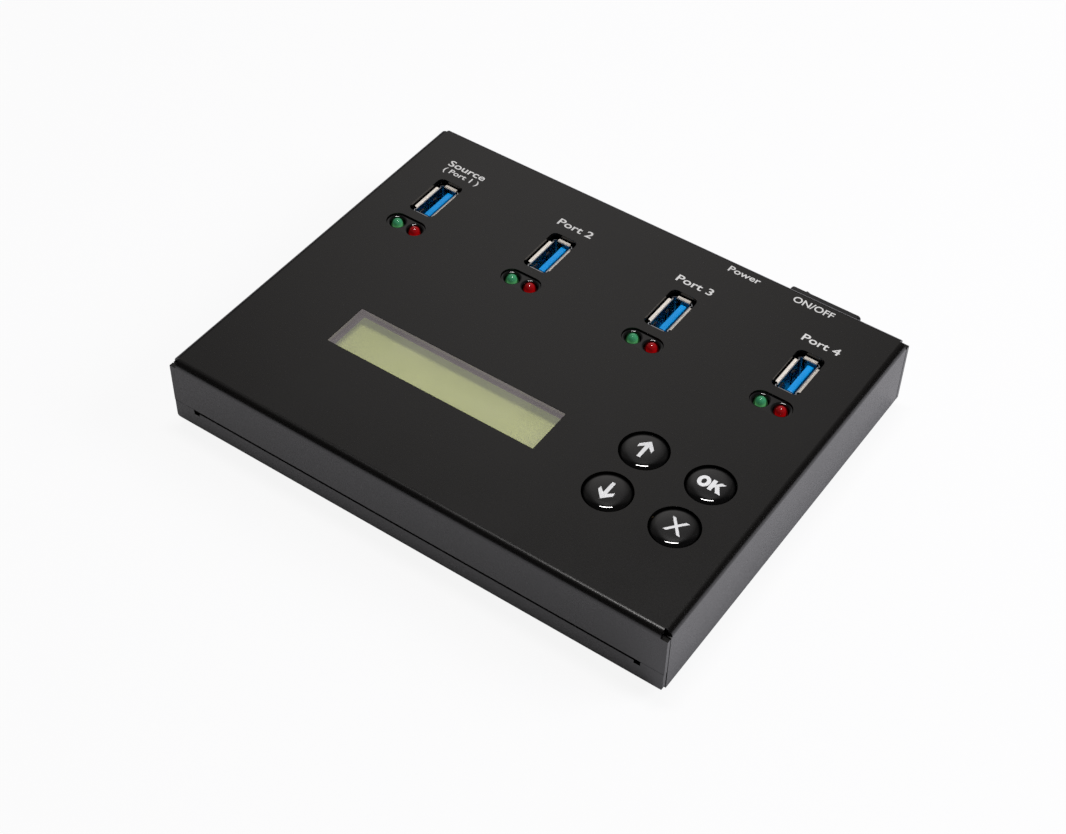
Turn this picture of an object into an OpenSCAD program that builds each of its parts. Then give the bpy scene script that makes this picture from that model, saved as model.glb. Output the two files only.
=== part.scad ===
// Four-port desktop flash drive copier in a two-part sheet steel case.
// +X runs along the front edge, +Y to the rear wall, +Z up from the table.
// The origin is on the table, under the centre of the whole part.

/* [Case] */
// Width of the case, left to right
case_w = 150; // [146:0.5:190]
// Depth of the case, front face to rear face
case_d = 117.5; // [115:0.5:150]
// Height of the case without its feet
case_h = 21.9; // [21.6:0.1:30]
// Thickness of the sheet steel
sheet_t = 1.2; // [0.9:0.1:1.4]
// Outer radius of every bend
bend_r = 2; // [1.6:0.1:2.6]
// Gap between the ends of neighbouring flanges
corner_gap = 0.3; // [0.2:0.05:0.6]
// Height of the tray's front wall at its two end tabs
front_wall_h = 7.4; // [6.5:0.1:9]
// Gap that closes the seam above the end tabs
seam_gap = 0.1; // [0.05:0.05:0.3]
// How much lower the front wall is between the tabs
vent_gap = 0.6; // [0.3:0.1:1]
// Width of each end tab of the front wall
tab_w = 6.4; // [4:0.1:12]
// Width of the relief notch beside each tab
notch_w = 1.8; // [1:0.1:3]
// Depth of the relief notch below the tab's top
notch_depth = 1.5; // [1.2:0.1:2.5]
// Radius of the front wall's lower corners
wall_corner_r = 2.5; // [1:0.1:4]
// Lower edge of the side and rear flanges above the tray's underside
skirt_edge_h = 0.9; // [0.3:0.1:2]
// Height of the tray's low side and rear walls
tray_wall_h = 3.9; // [3:0.1:4.1]

/* [Feet and fasteners] */
// Diameter of each rubber foot
foot_d = 10; // [6:0.5:14]
// Height of each rubber foot
foot_h = 2; // [1:0.1:5]
// Distance from the case's sides to the centre of each foot
foot_inset = 15; // [13.5:0.5:24]
// Distance from the case's sides to the centre of each screw
screw_inset = 7.4; // [7:0.1:7.8]
// Diameter of the screw's shank
screw_d = 3; // [2.5:0.1:3.2]
// Diameter of the countersunk head
screw_head_d = 5.5; // [5:0.1:5.8]
// Length of thread that the screw has in its standoff
screw_grip = 5; // [3:0.5:8]
// Outer diameter of the standoffs and spacers
standoff_d = 5.6; // [5:0.1:6]

/* [Main board] */
// Thickness of the circuit boards
board_t = 1.6; // [1:0.1:2]
// Space between the tray's floor and the main board
board_lift = 3.2; // [3:0.1:4.5]
// Gap between the case's outer faces and the board's edges
board_margin = 4.2; // [3.8:0.1:4.4]

/* [Display] */
// Width of the display window
window_w = 64.5; // [50:0.5:70]
// Depth of the display window
window_d = 14.5; // [10:0.5:16]
// Centre of the window from the middle of the case
window_x = -14.8; // [-18:0.1:-12]
// Centre of the window from the front face
window_from_front = 36.4; // [34:0.1:38]
// Width of the pane's glued rim around the window
pane_rim = 2.8; // [2:0.1:4]
// Thickness of the pane's glued rim
pane_rim_t = 1; // [0.6:0.1:1.2]
// Height of the pin header between the two boards
header_h = 2.5; // [2.5:0.1:3.2]
// Border of the display's metal frame at the window's ends
lcd_frame_side = 3.35; // [2.9:0.05:4]
// Border of the display's metal frame in front of the window and behind it
lcd_frame_end = 5.35; // [4:0.05:6]
// How far the metal frame's opening stands back from the window at its ends
lcd_reveal_side = 1; // [0:0.05:1.5]
// How far the metal frame's opening stands back from the window in front of it and behind it
lcd_reveal_end = 1.9; // [0:0.05:2.5]
// Ledge of the display's board at each end of the metal frame
lcd_board_side = 4.4; // [4.3:0.1:5]
// Ledge of the display's board in front of the metal frame and behind it
lcd_board_end = 5.4; // [5:0.1:6]
// Distance of the spacers' centres from the board's edges
lcd_hole_inset = 2.5; // [2:0.1:2.5]
// Height of the display's metal frame
lcd_frame_h = 6.9; // [6:0.1:7.2]
// Sheet thickness of the display's metal frame
lcd_frame_t = 0.5; // [0.3:0.1:0.6]
// Thickness of the display's glass
lcd_glass_t = 2.2; // [1.8:0.1:2.6]

/* [Keys] */
// Diameter of each key cap
key_d = 12.4; // [10:0.1:13]
// Gap between a cap and its hole
key_gap = 0.3; // [0.2:0.05:0.5]
// How far a cap stands above the cover
key_proud = 0.5; // [0.4:0.1:3]
// Radius of the cap's top edge
key_edge_r = 1; // [0.5:0.1:1.2]
// Spacing of the keys, left to right
key_pitch_x = 19; // [16:0.1:20]
// Spacing of the keys, front to rear
key_pitch_y = 16.3; // [15:0.1:20]
// Centre of the four keys from the right side of the case
keys_from_side = 25.6; // [23:0.1:27]
// Centre of the four keys from the front face
keys_from_front = 36.5; // [30:0.1:40]
// Wall of the key caps
key_wall = 1.2; // [0.8:0.1:1.6]
// How far the cap reaches below the cover's top sheet
key_skirt = 4; // [2:0.1:5]
// Travel of each key
key_travel = 0.3; // [0.2:0.05:0.5]
// Width of each push switch under a key
tact_w = 12; // [10:0.1:12.6]
// Height of each push switch's housing
tact_h = 3.5; // [3.2:0.1:5]
// Diameter of the push switch's plunger
plunger_d = 6.8; // [6:0.1:7]
// Width of the square post on the plunger
post_w = 3.8; // [3:0.1:4]

/* [Ports] */
// Spacing of the four ports
port_pitch = 38.35; // [34:0.05:39]
// How far the row of ports stands to the left of the case's middle
ports_left = 0.45; // [0:0.05:1]
// Centre of the ports from the rear face
port_from_rear = 27.1; // [27:0.1:30]
// How far the port's rim lies below the cover's top
port_drop = 1; // [0.6:0.1:2]
// Width of the shell, along its wide side
shell_w = 13.1; // [12.5:0.1:13.4]
// Thickness of the shell across its narrow side
shell_d = 5.7; // [5.3:0.1:6]
// Wall of the shell
shell_t = 0.3; // [0.2:0.05:0.4]
// How far each lip reaches outwards
lip_out = 0.8; // [0.4:0.1:1]
// Gap between the lips and the hole in the cover
port_gap = 0.4; // [0.3:0.1:1]
// Thickness of the tongue
tongue_t = 1.8; // [1.5:0.1:2]
// Width of the tongue
tongue_w = 11; // [10:0.1:11.6]
// Distance of the tongue's back from the shell's outer side
tongue_gap = 1.1; // [0.8:0.1:1.5]
// How far the tongue's tip lies below the rim
tongue_drop = 0.9; // [0.5:0.1:2]
// Height of the port's plastic foot
port_foot_h = 4; // [3:0.1:6]

/* [Lamps] */
// Diameter of each lamp's lens
lamp_d = 3; // [2.6:0.1:3.2]
// Height of each lamp from its rim to the top of its dome
lamp_h = 5.3; // [4:0.1:6]
// Spacing of the two lamps of a pair
lamp_pitch = 5.8; // [5.6:0.1:6.4]
// Centre of the lamps from the rear face
lamp_from_rear = 40.8; // [39.5:0.1:42]
// Diameter of the well that holds each lamp
well_d = 5.2; // [4.4:0.1:5.3]
// Wall of the lamp holder around its wells
well_wall = 0.35; // [0.3:0.05:0.6]
// How far the holder's top lies below the cover's top
holder_drop = 0.5; // [0.2:0.1:0.9]

/* [Power switch] */
// Centre of the switch from the right side of the case
switch_from_side = 25.6; // [23:0.1:27]
// Top of the bezel below the cover's top
switch_drop = 1.6; // [1.5:0.1:1.8]
// Width of the bezel
bezel_w = 21; // [20.6:0.1:24]
// Height of the bezel
bezel_h = 15; // [14.6:0.1:15.4]
// Thickness of the bezel
bezel_t = 2; // [1.5:0.1:3]
// Width of the switch's body
body_w = 19; // [18.6:0.1:19.4]
// Height of the switch's body
body_h = 12.8; // [12.4:0.1:13]
// Depth of the switch's body inside the rear wall
body_depth = 11; // [9.5:0.1:11]
// Length of the terminals behind the body
blade_len = 6; // [4:0.1:6]
// Radius of the paddle's ends about its pivot
paddle_r = 8.3; // [7.8:0.1:8.3]
// Width of the paddle along its pivot
paddle_w = 9.8; // [8:0.1:10]
// Angle that the paddle turns to each side of its middle
paddle_tilt = 10; // [6:0.5:11]
// Running clearance around the paddle
paddle_gap = 0.2; // [0.15:0.05:0.3]

/* [Power inlet] */
// Centre of the inlet from the right side of the case
jack_from_side = 47.6; // [46:0.1:50]
// Width of the inlet's body
jack_w = 9; // [8.6:0.1:11]
// Depth of the inlet's body
jack_len = 14; // [12:0.5:16]
// Height of the inlet's body
jack_h = 11; // [10.6:0.1:12]
// Height of the inlet's axis above the main board
jack_axis_h = 6.4; // [5:0.1:6.6]
// Diameter of the inlet's mouth
jack_bore_d = 6.3; // [5.8:0.1:6.6]
// Depth of the inlet's mouth
jack_bore_len = 9.5; // [8:0.1:10.5]
// Diameter of the inlet's centre pin
jack_pin_d = 2.1; // [1.6:0.05:2.5]
// Diameter of the hole in the rear wall
jack_hole_d = 8; // [7:0.1:9]

/* [Hidden] */
PORTS = [1:4];
KEYS = ["up", "down", "ok", "cancel"];
$fn = 64;

// Clearance between seated pieces of the same body
seat = 0.05;

// Heights above the tray's underside
cover_under_z = case_h - sheet_t;
board_under_z = sheet_t + board_lift;
board_top_z = board_under_z + board_t;
lcd_under_z = board_top_z + header_h;
lcd_top_z = lcd_under_z + board_t;
lcd_frame_z = lcd_top_z + lcd_frame_h;
port_rim_z = case_h - port_drop;
switch_z = case_h - switch_drop - bezel_h / 2;
jack_z = board_top_z + jack_axis_h;
flange_z = front_wall_h + seam_gap;

// Places in plan, from the middle of the case
front_y = -case_d / 2;
rear_y = case_d / 2;
rear_inside_y = rear_y - sheet_t;
window_y = front_y + window_from_front;
keys_x = case_w / 2 - keys_from_side;
keys_y = front_y + keys_from_front;
switch_x = case_w / 2 - switch_from_side;
jack_x = case_w / 2 - jack_from_side;
port_y = rear_y - port_from_rear;
lamp_y = rear_y - lamp_from_rear;
inner_w = case_w - 2 * (sheet_t + corner_gap);
tray_rear_y = rear_inside_y - corner_gap;
board_w = case_w - 2 * board_margin;
board_d = case_d - 2 * board_margin + 2;

// The display stands round its window, and its header lies along its board's rear edge
lcd_frame_w = window_w + 2 * lcd_frame_side;
lcd_frame_d = window_d + 2 * lcd_frame_end;
lcd_board_w = lcd_frame_w + 2 * lcd_board_side;
lcd_board_d = lcd_frame_d + 2 * lcd_board_end;
header_pins = 16;
header_pitch = 2.54;
header_w = 2.5;
header_from_edge = 2.5;
header_y = lcd_board_d / 2 - header_from_edge;
lcd_hole_d = 2.5;

// Chips stand in one row behind the header, between the columns of ports
controller_w = 14;
controller_h = 1.6;
memory_w = 11;
memory_d = 8;
memory_h = 1.2;
leg_out = 0.7;
leg_len = 1;
leg_w = 0.5;
chip_gap = 3.45;
chip_row_y = window_y + header_y + header_w / 2 + chip_gap + leg_out + controller_w / 2;
crystal_len = 11;
crystal_w = 4.6;
crystal_h = 3.5;
crystal_x = -(controller_w + crystal_w) / 2 - 0.9;
resistor_size = [1.6, 0.8, 0.5];
resistor_pitch = [2.4, 2.6];
resistor_from_edge = 8.8;

// Power parts stand in one row along the rear, to the left of the inlet
power_row_y = rear_y - 11;
capacitor_d = 6.3;
capacitor_h = 7;
capacitor_base = [6.8, 6.8, 0.8];
capacitor_pitch = 9;
capacitor_x = jack_x - jack_w / 2 - 5.5 - capacitor_base.x / 2;
inductor_base = [7.2, 7.2, 1];
inductor_d = 6.2;
inductor_h = 3.6;
inductor_lip = 0.4;
inductor_x = capacitor_x - 2 * capacitor_pitch - capacitor_base.x / 2 - 4.5 - inductor_base.x / 2;

// The paddle's pivot and outline; the lower end is level with the bezel's face
paddle_end_a = 20.5;
paddle_sink = paddle_r * sin(paddle_end_a - paddle_tilt) - 0.3;
paddle_mid = paddle_r * sin(paddle_end_a - paddle_tilt) / cos(paddle_tilt);
paddle_keel_w = 5;
paddle_keel_d = 4.5;
paddle_axle_d = 2;
pivot_y = rear_y + seat + bezel_t - paddle_sink;
cavity_depth = paddle_sink + paddle_keel_d + 0.8;
switch_back_y = rear_inside_y - body_depth;
blade_x = 4.2;
blade_w = 4.8;
blade_t = 0.8;
lead_d = 1.3;
lead_bend_r = 1.5;
lead_pitch = 2.5;
lead_rise = 1.4;
lead_y = switch_back_y - blade_len - lead_bend_r;
connector_gap = 1.2;
connector_d = 3.6;
connector_h = 4;
connector_x = jack_x + jack_w / 2 + connector_gap + lead_pitch;

// The part's origin is under the middle of the case and the raised end of the paddle
rear_reach = pivot_y - rear_y + paddle_r * sin(paddle_end_a + paddle_tilt);
case_y = -rear_reach / 2;

black_paint = "#2e2d2e";
board_green = "#1f5a35";
steel = "#b9bbbd";

function port_x(i) = (i - 2.5) * port_pitch - ports_left;
function key_place(k) =
    k == "up" ? [-1, 1] : k == "ok" ? [1, 1] : k == "down" ? [-1, -1] : [1, -1];

module in_case() {
    translate([0, case_y, foot_h]) children();
}

module at_key(k) {
    side = key_place(k);
    in_case()
        translate([keys_x + side.x * key_pitch_x / 2, keys_y + side.y * key_pitch_y / 2, 0])
            children();
}

module at_port(i) {
    in_case() translate([port_x(i), port_y, 0]) children();
}

module at_lamp_pair(i) {
    in_case() translate([port_x(i), lamp_y, 0]) children();
}

// Four copies at the corners of a rectangle, w by d
module four_corners(w, d) {
    for (x = [-w / 2, w / 2], y = [-d / 2, d / 2])
        translate([x, y, 0]) children();
}

// Flat outlines ----------------------------------------------------------

module rounded_outline(w, d, r) {
    square([w - 2 * r, d], center = true);
    square([w, d - 2 * r], center = true);
    for (x = [-w / 2 + r, w / 2 - r], y = [-d / 2 + r, d / 2 - r])
        translate([x, y]) circle(r);
}

module stadium_outline(length, d) {
    square([length - d, d], center = true);
    for (side = [-1, 1])
        translate([side * (length - d) / 2, 0]) circle(d / 2, $fn = 48);
}

// Quarter bend of the sheet: the outer corner would be at the origin
module bend_outline() {
    intersection() {
        translate([bend_r, bend_r])
            difference() {
                circle(bend_r);
                circle(bend_r - sheet_t);
            }
        square(bend_r);
    }
}

// Flange beyond its bend, from the bend's end to the height given
module flange_outline(h) {
    translate([0, bend_r]) square([sheet_t, h - bend_r]);
}

// Runs an outline along one side: its x points inwards and its y upwards
module along_side(side, distance, length) {
    rotate([0, 0, 90 * side])
        translate([-length / 2, -distance, 0])
            rotate([90, 0, 90])
                linear_extrude(length) children();
}

// Case -------------------------------------------------------------------

// Hangs its children upside down from the top of the case
module under_top() {
    translate([0, 0, case_h]) mirror([0, 0, 1]) children();
}

module cover_shell() {
    top_w = case_w - 2 * bend_r;
    top_d = case_d - 2 * bend_r;
    translate([0, 0, cover_under_z])
        linear_extrude(sheet_t) square([top_w, top_d], center = true);
    under_top() {
        for (side = [0, 2]) {
            along_side(side, case_d / 2, top_w) bend_outline();
            along_side(side + 1, case_w / 2, top_d) bend_outline();
            along_side(side + 1, case_w / 2, case_d - 2 * (sheet_t + corner_gap))
                flange_outline(case_h - skirt_edge_h);
        }
        along_side(0, case_d / 2, case_w) flange_outline(case_h - flange_z);
        along_side(2, case_d / 2, case_w) flange_outline(case_h - skirt_edge_h);
    }
}

module cover_cuts() {
    through = sheet_t + 2;
    port_hole_r = 1.7;
    translate([0, 0, cover_under_z - 1]) {
        translate([window_x, window_y, 0])
            linear_extrude(through) square([window_w, window_d], center = true);
        for (x = [-1, 1], y = [-1, 1])
            translate([keys_x + x * key_pitch_x / 2, keys_y + y * key_pitch_y / 2, 0])
                cylinder(h = through, d = key_d + 2 * key_gap);
        for (i = PORTS) {
            translate([port_x(i), port_y, 0])
                linear_extrude(through)
                    rounded_outline(shell_d + 2 * (lip_out + port_gap),
                        shell_w + 2 * (lip_out + port_gap), port_hole_r);
            translate([port_x(i), lamp_y, 0])
                linear_extrude(through)
                    stadium_outline(holder_len + 2 * holder_gap, holder_w + 2 * holder_gap);
        }
    }
    translate([switch_x, rear_y + 1, switch_z])
        rotate([90, 0, 0])
            linear_extrude(through)
                square([body_w + 0.2, body_h + 0.2], center = true);
    translate([jack_x, rear_y + 1, jack_z])
        rotate([90, 0, 0]) cylinder(h = through, d = jack_hole_d);
}

module top_cover() {
    color(black_paint)
        in_case()
            difference() {
                cover_shell();
                cover_cuts();
            }
}

// Front view of the tray's front wall, with its tabs, notches and round corners
module front_wall_outline(w) {
    r = wall_corner_r;
    difference() {
        union() {
            translate([-w / 2 + r, 0]) square([w - 2 * r, front_wall_h]);
            translate([-w / 2, r]) square([w, front_wall_h - r]);
            for (side = [-1, 1])
                translate([side * (w / 2 - r), r]) circle(r);
        }
        gap_w = w - 2 * tab_w;
        translate([-gap_w / 2, front_wall_h - vent_gap]) square([gap_w, vent_gap + 1]);
        for (side = [-1, 1])
            translate([side * (gap_w - notch_w) / 2 - notch_w / 2, front_wall_h - notch_depth])
                square([notch_w, notch_depth + 1]);
    }
}

module bottom_tray() {
    floor_w = inner_w - 2 * bend_r;
    floor_d = tray_rear_y - front_y - 2 * bend_r;
    floor_y = front_y + bend_r + floor_d / 2;
    wall_w = case_w - 2 * seam_gap;
    color(black_paint)
        in_case()
            difference() {
                union() {
                    translate([0, floor_y, 0])
                        linear_extrude(sheet_t) square([floor_w, floor_d], center = true);
                    along_side(0, case_d / 2, floor_w) bend_outline();
                    intersection() {
                        along_side(0, case_d / 2, wall_w) {
                            intersection() {
                                bend_outline();
                                square([sheet_t, bend_r]);
                            }
                            flange_outline(front_wall_h);
                        }
                        translate([0, front_y + sheet_t + 1, 0])
                            rotate([90, 0, 0])
                                linear_extrude(sheet_t + 2) front_wall_outline(wall_w);
                    }
                    along_side(2, tray_rear_y, floor_w) {
                        bend_outline();
                        flange_outline(tray_wall_h);
                    }
                    translate([0, floor_y, 0])
                        for (side = [1, 3])
                            along_side(side, inner_w / 2, floor_d) {
                                bend_outline();
                                flange_outline(tray_wall_h);
                            }
                }
                at_screws() screw_form(seat, 1);
            }
}

module at_screws() {
    four_corners(case_w - 2 * screw_inset, case_d - 2 * screw_inset) children();
}

// Countersunk screw from the tray's underside, with clearance and extra length for its hole
module screw_form(clear, extra) {
    head_r = screw_head_d / 2 + clear;
    shank_r = screw_d / 2 - 2 * seat + clear;
    head_h = head_r - shank_r;
    if (extra > 0)
        translate([0, 0, -extra]) cylinder(h = extra + 0.01, r = head_r);
    cylinder(h = head_h, r1 = head_r, r2 = shank_r);
    cylinder(h = board_top_z + screw_grip + extra, r = shank_r);
}

module case_screws() {
    drive_w = 2;
    color(steel)
        in_case()
            at_screws()
                difference() {
                    screw_form(0, 0);
                    for (a = [0, 90])
                        rotate([0, 0, a])
                            translate([-drive_w / 2, -0.25, -1]) cube([drive_w, 0.5, 1.8]);
                }
}

module cover_standoffs() {
    color(steel)
        in_case()
            at_screws()
                translate([0, 0, board_top_z])
                    difference() {
                        cylinder(h = cover_under_z - board_top_z, d = standoff_d);
                        translate([0, 0, -1]) cylinder(h = screw_grip + 2, d = screw_d);
                    }
}

module board_spacers() {
    color("#e8e6df")
        in_case()
            at_screws()
                translate([0, 0, sheet_t])
                    difference() {
                        cylinder(h = board_lift, d = standoff_d);
                        translate([0, 0, -1]) cylinder(h = board_lift + 2, d = screw_d + 0.4);
                    }
}

module rubber_feet() {
    edge_r = foot_d / 2;
    chamfer = 0.4;
    color("#1b1b1c")
        translate([0, case_y, 0])
            four_corners(case_w - 2 * foot_inset, case_d - 2 * foot_inset)
                rotate_extrude()
                    polygon([
                        [0, 0], [edge_r - chamfer, 0], [edge_r, chamfer], [edge_r, foot_h], [0, foot_h]
                    ]);
}

// Main board ---------------------------------------------------------------

module main_board() {
    notch_clear = 0.6;
    notch_w = body_w + 2 * notch_clear;
    color(board_green)
        in_case()
            translate([0, 0, board_under_z])
                difference() {
                    linear_extrude(board_t) square([board_w, board_d], center = true);
                    translate([switch_x - notch_w / 2, switch_back_y - notch_clear, -1])
                        cube([notch_w, case_d, board_t + 2]);
                    translate([0, 0, -1])
                        at_screws() cylinder(h = board_t + 2, d = screw_d + 0.4);
                }
}

// Stands pieces on the main board at a place in plan
module on_board(x, y) {
    in_case() translate([x, y, board_top_z]) children();
}

// Flat chip on two rows of short legs
module leaded_chip(w, d, h, legs) {
    leg_pitch = (w - 2 * leg_w) / (legs - 1);
    leg_y = d / 2 + leg_out - leg_len / 2;
    standing = leg_w / 2;
    translate([-w / 2, -d / 2, standing]) cube([w, d, h - standing]);
    for (n = [0:legs - 1], side = [-1, 1])
        translate([
            (n - (legs - 1) / 2) * leg_pitch - leg_w / 2,
            side * leg_y - leg_len / 2,
            0
        ])
            cube([leg_w, leg_len, leg_w]);
}

module controller_chip() {
    color("#1e1f21")
        on_board(0, chip_row_y) leaded_chip(controller_w, controller_w, controller_h, 12);
}

module memory_chips() {
    color("#232427")
        for (side = [-1, 1])
            on_board(side * port_pitch, chip_row_y) leaded_chip(memory_w, memory_d, memory_h, 8);
}

module crystal() {
    color("#c9c9c6")
        on_board(crystal_x, chip_row_y)
            rotate([0, 0, 90]) linear_extrude(crystal_h) stadium_outline(crystal_len, crystal_w);
}

module capacitors() {
    color("#6d7078")
        for (n = [0:2])
            on_board(capacitor_x - n * capacitor_pitch, power_row_y) {
                cylinder(h = capacitor_h, d = capacitor_d);
                translate([-capacitor_base.x / 2, -capacitor_base.y / 2, 0]) cube(capacitor_base);
            }
}

module inductor() {
    color("#4a4b4e")
        on_board(inductor_x, power_row_y) {
            translate([-inductor_base.x / 2, -inductor_base.y / 2, 0]) cube(inductor_base);
            cylinder(h = inductor_h, d = inductor_d);
            translate([0, 0, inductor_h - 2 * inductor_lip])
                cylinder(h = 2 * inductor_lip, d = inductor_d + 2 * inductor_lip);
        }
}

module chip_resistors() {
    color("#2a2a2c")
        for (row = [0, 1], n = [0:7])
            on_board(
                -board_w / 2 + resistor_from_edge + resistor_pitch.x * row,
                window_y + resistor_pitch.y * (n - 3.5)
            )
                translate([-resistor_size.x / 2, -resistor_size.y / 2, 0]) cube(resistor_size);
}

// Display --------------------------------------------------------------------

module at_display(z) {
    in_case() translate([window_x, window_y, z]) children();
}

module display_pane() {
    color("#8d8a86", 0.5)
        at_display(cover_under_z) {
            linear_extrude(sheet_t)
                square([window_w - 2 * seat, window_d - 2 * seat], center = true);
            translate([0, 0, -pane_rim_t])
                linear_extrude(pane_rim_t)
                    square([window_w + 2 * pane_rim, window_d + 2 * pane_rim], center = true);
        }
}

module lcd_frame() {
    color("#202022")
        at_display(lcd_top_z)
            difference() {
                linear_extrude(lcd_frame_h) square([lcd_frame_w, lcd_frame_d], center = true);
                translate([0, 0, -1])
                    linear_extrude(lcd_frame_h - lcd_frame_t + 1)
                        square([lcd_frame_w - 2 * lcd_frame_t, lcd_frame_d - 2 * lcd_frame_t], center = true);
                linear_extrude(lcd_frame_h + 1)
                    square([window_w + 2 * lcd_reveal_side, window_d + 2 * lcd_reveal_end], center = true);
            }
}

lcd_inside_w = lcd_frame_w - 2 * (lcd_frame_t + seat);
lcd_inside_d = lcd_frame_d - 2 * (lcd_frame_t + seat);
lcd_glass_z = lcd_frame_z - lcd_frame_t - seat - lcd_glass_t;

module lcd_glass() {
    color("#a9ab84")
        at_display(lcd_glass_z)
            linear_extrude(lcd_glass_t) square([lcd_inside_w, lcd_inside_d], center = true);
}

module lcd_backlight() {
    color("#e9ead8")
        at_display(lcd_top_z)
            linear_extrude(lcd_glass_z - lcd_top_z) square([lcd_inside_w, lcd_inside_d], center = true);
}

// Row of the header's pins, along the rear edge of the display's board
module at_header_pins() {
    for (n = [0:header_pins - 1])
        translate([(n - (header_pins - 1) / 2) * header_pitch, header_y, 0]) children();
}

module at_lcd_holes() {
    four_corners(lcd_board_w - 2 * lcd_hole_inset, lcd_board_d - 2 * lcd_hole_inset) children();
}

module lcd_board() {
    color(board_green)
        at_display(lcd_under_z)
            difference() {
                linear_extrude(board_t) square([lcd_board_w, lcd_board_d], center = true);
                translate([0, 0, -1]) {
                    at_lcd_holes() cylinder(h = board_t + 2, d = lcd_hole_d);
                    at_header_pins() cylinder(h = board_t + 2, d = 1, $fn = 24);
                }
            }
}

module lcd_header() {
    pin_w = 0.6;
    pin_proud = 1;
    color("#26262a")
        at_display(board_top_z) {
            translate([-header_pins * header_pitch / 2, header_y - header_w / 2, 0])
                cube([header_pins * header_pitch, header_w, header_h]);
            at_header_pins()
                translate([-pin_w / 2, -pin_w / 2, header_h / 2])
                    cube([pin_w, pin_w, header_h / 2 + board_t + pin_proud]);
        }
}

module lcd_spacers() {
    ledge = 1.05;
    color("#e8e6df")
        at_display(board_top_z)
            at_lcd_holes() {
                cylinder(h = header_h, d = lcd_hole_d + 2 * ledge);
                cylinder(h = header_h + board_t + 0.5, d = lcd_hole_d - 2 * seat);
                translate([0, 0, header_h + board_t]) cylinder(h = 1.2, d1 = 3.4, d2 = 1.8);
            }
}

// Keys -----------------------------------------------------------------------

housing_floor = 1;
housing_gap = 0.08;
plunger_base_h = tact_h - housing_floor - key_travel - 0.3 + 0.7;
post_z = board_top_z + housing_floor + key_travel + 0.3 + plunger_base_h;
key_top_z = case_h + key_proud;
key_skirt_z = cover_under_z - key_skirt;
post_top_z = key_top_z - key_wall - seat;

module tact_housings() {
    color("#1d1d1f")
        for (k = KEYS)
            at_key(k)
                translate([0, 0, board_top_z])
                    difference() {
                        translate([-tact_w / 2, -tact_w / 2, 0]) cube([tact_w, tact_w, tact_h]);
                        translate([0, 0, housing_floor])
                            cylinder(h = tact_h, d = plunger_d + 2 * housing_gap);
                    }
}

module plunger(k) {
    color("#d9d6cc")
        at_key(k) {
            translate([0, 0, post_z - plunger_base_h]) cylinder(h = plunger_base_h, d = plunger_d);
            translate([-post_w / 2, -post_w / 2, post_z - 0.5])
                cube([post_w, post_w, post_top_z - post_z + 0.5]);
        }
}

module key_cap(k) {
    r = key_d / 2;
    inner_r = r - key_wall;
    socket_w = post_w + 2 * seat;
    boss_r = socket_w / sqrt(2) + 0.6;
    color("#151516")
        at_key(k)
            difference() {
                union() {
                    rotate_extrude()
                        difference() {
                            union() {
                                translate([0, key_skirt_z])
                                    square([r, key_top_z - key_edge_r - key_skirt_z]);
                                translate([0, key_skirt_z])
                                    square([r - key_edge_r, key_top_z - key_skirt_z]);
                                translate([r - key_edge_r, key_top_z - key_edge_r]) circle(key_edge_r);
                            }
                            translate([-1, key_skirt_z - 1])
                                square([inner_r + 1, key_top_z - key_wall - key_skirt_z + 1]);
                        }
                    translate([0, 0, post_z])
                        cylinder(h = key_top_z - key_wall / 2 - post_z, r = boss_r);
                }
                translate([-socket_w / 2, -socket_w / 2, post_z - 1])
                    cube([socket_w, socket_w, key_top_z - key_wall - post_z + 1]);
            }
}

// Ports ------------------------------------------------------------------------

// Depth below the rim where each lip starts to turn outwards from the shell's wall
lip_turn = 0.6;

// One lip turned flat over a side of the mouth, w wide, standing at the distance given from the axis
module port_lip(w, distance) {
    translate([distance, w / 2, port_rim_z])
        rotate([90, 0, 0])
            linear_extrude(w)
                polygon([[-shell_t, -lip_turn], [0, -lip_turn], [shell_t / 2, -shell_t],
                    [lip_out, -shell_t], [lip_out, 0], [0, 0], [-shell_t, -shell_t]]);
}

module usb_shell(i) {
    tube_h = port_rim_z - lip_turn + shell_t / 2 - board_top_z;
    finger_w = 1.6;
    finger_l = 4.5;
    finger_z = port_rim_z - 3.2 - finger_l;
    lip_corner = 0.9;
    color(steel)
        at_port(i) {
            difference() {
                translate([0, 0, board_top_z])
                    linear_extrude(tube_h)
                        difference() {
                            square([shell_d, shell_w], center = true);
                            square([shell_d - 2 * shell_t, shell_w - 2 * shell_t], center = true);
                        }
                for (y = [-1, 1])
                    translate([-shell_d / 2 - 1, y * 3.1 - finger_w / 2 - 0.3, finger_z])
                        cube([2, finger_w + 0.6, finger_l + 0.4]);
            }
            for (y = [-1, 1])
                translate([-shell_d / 2, y * 3.1 - finger_w / 2, finger_z - 0.01])
                    cube([shell_t, finger_w, finger_l]);
            for (a = [0, 180])
                rotate([0, 0, a]) port_lip(shell_w - lip_corner, shell_d / 2);
            for (a = [90, 270])
                rotate([0, 0, a]) port_lip(shell_d - lip_corner, shell_w / 2);
        }
}

tongue_x = shell_d / 2 - tongue_gap - tongue_t;
tongue_top_z = port_rim_z - tongue_drop;

module usb_tongue(i) {
    foot_w = shell_w - 2 * (shell_t + seat);
    foot_d = shell_d - 2 * (shell_t + seat);
    color("#1d7fd0")
        at_port(i) {
            translate([-foot_d / 2, -foot_w / 2, board_top_z]) cube([foot_d, foot_w, port_foot_h]);
            translate([tongue_x, -tongue_w / 2, board_top_z])
                cube([tongue_t, tongue_w, tongue_top_z - board_top_z]);
        }
}

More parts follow.
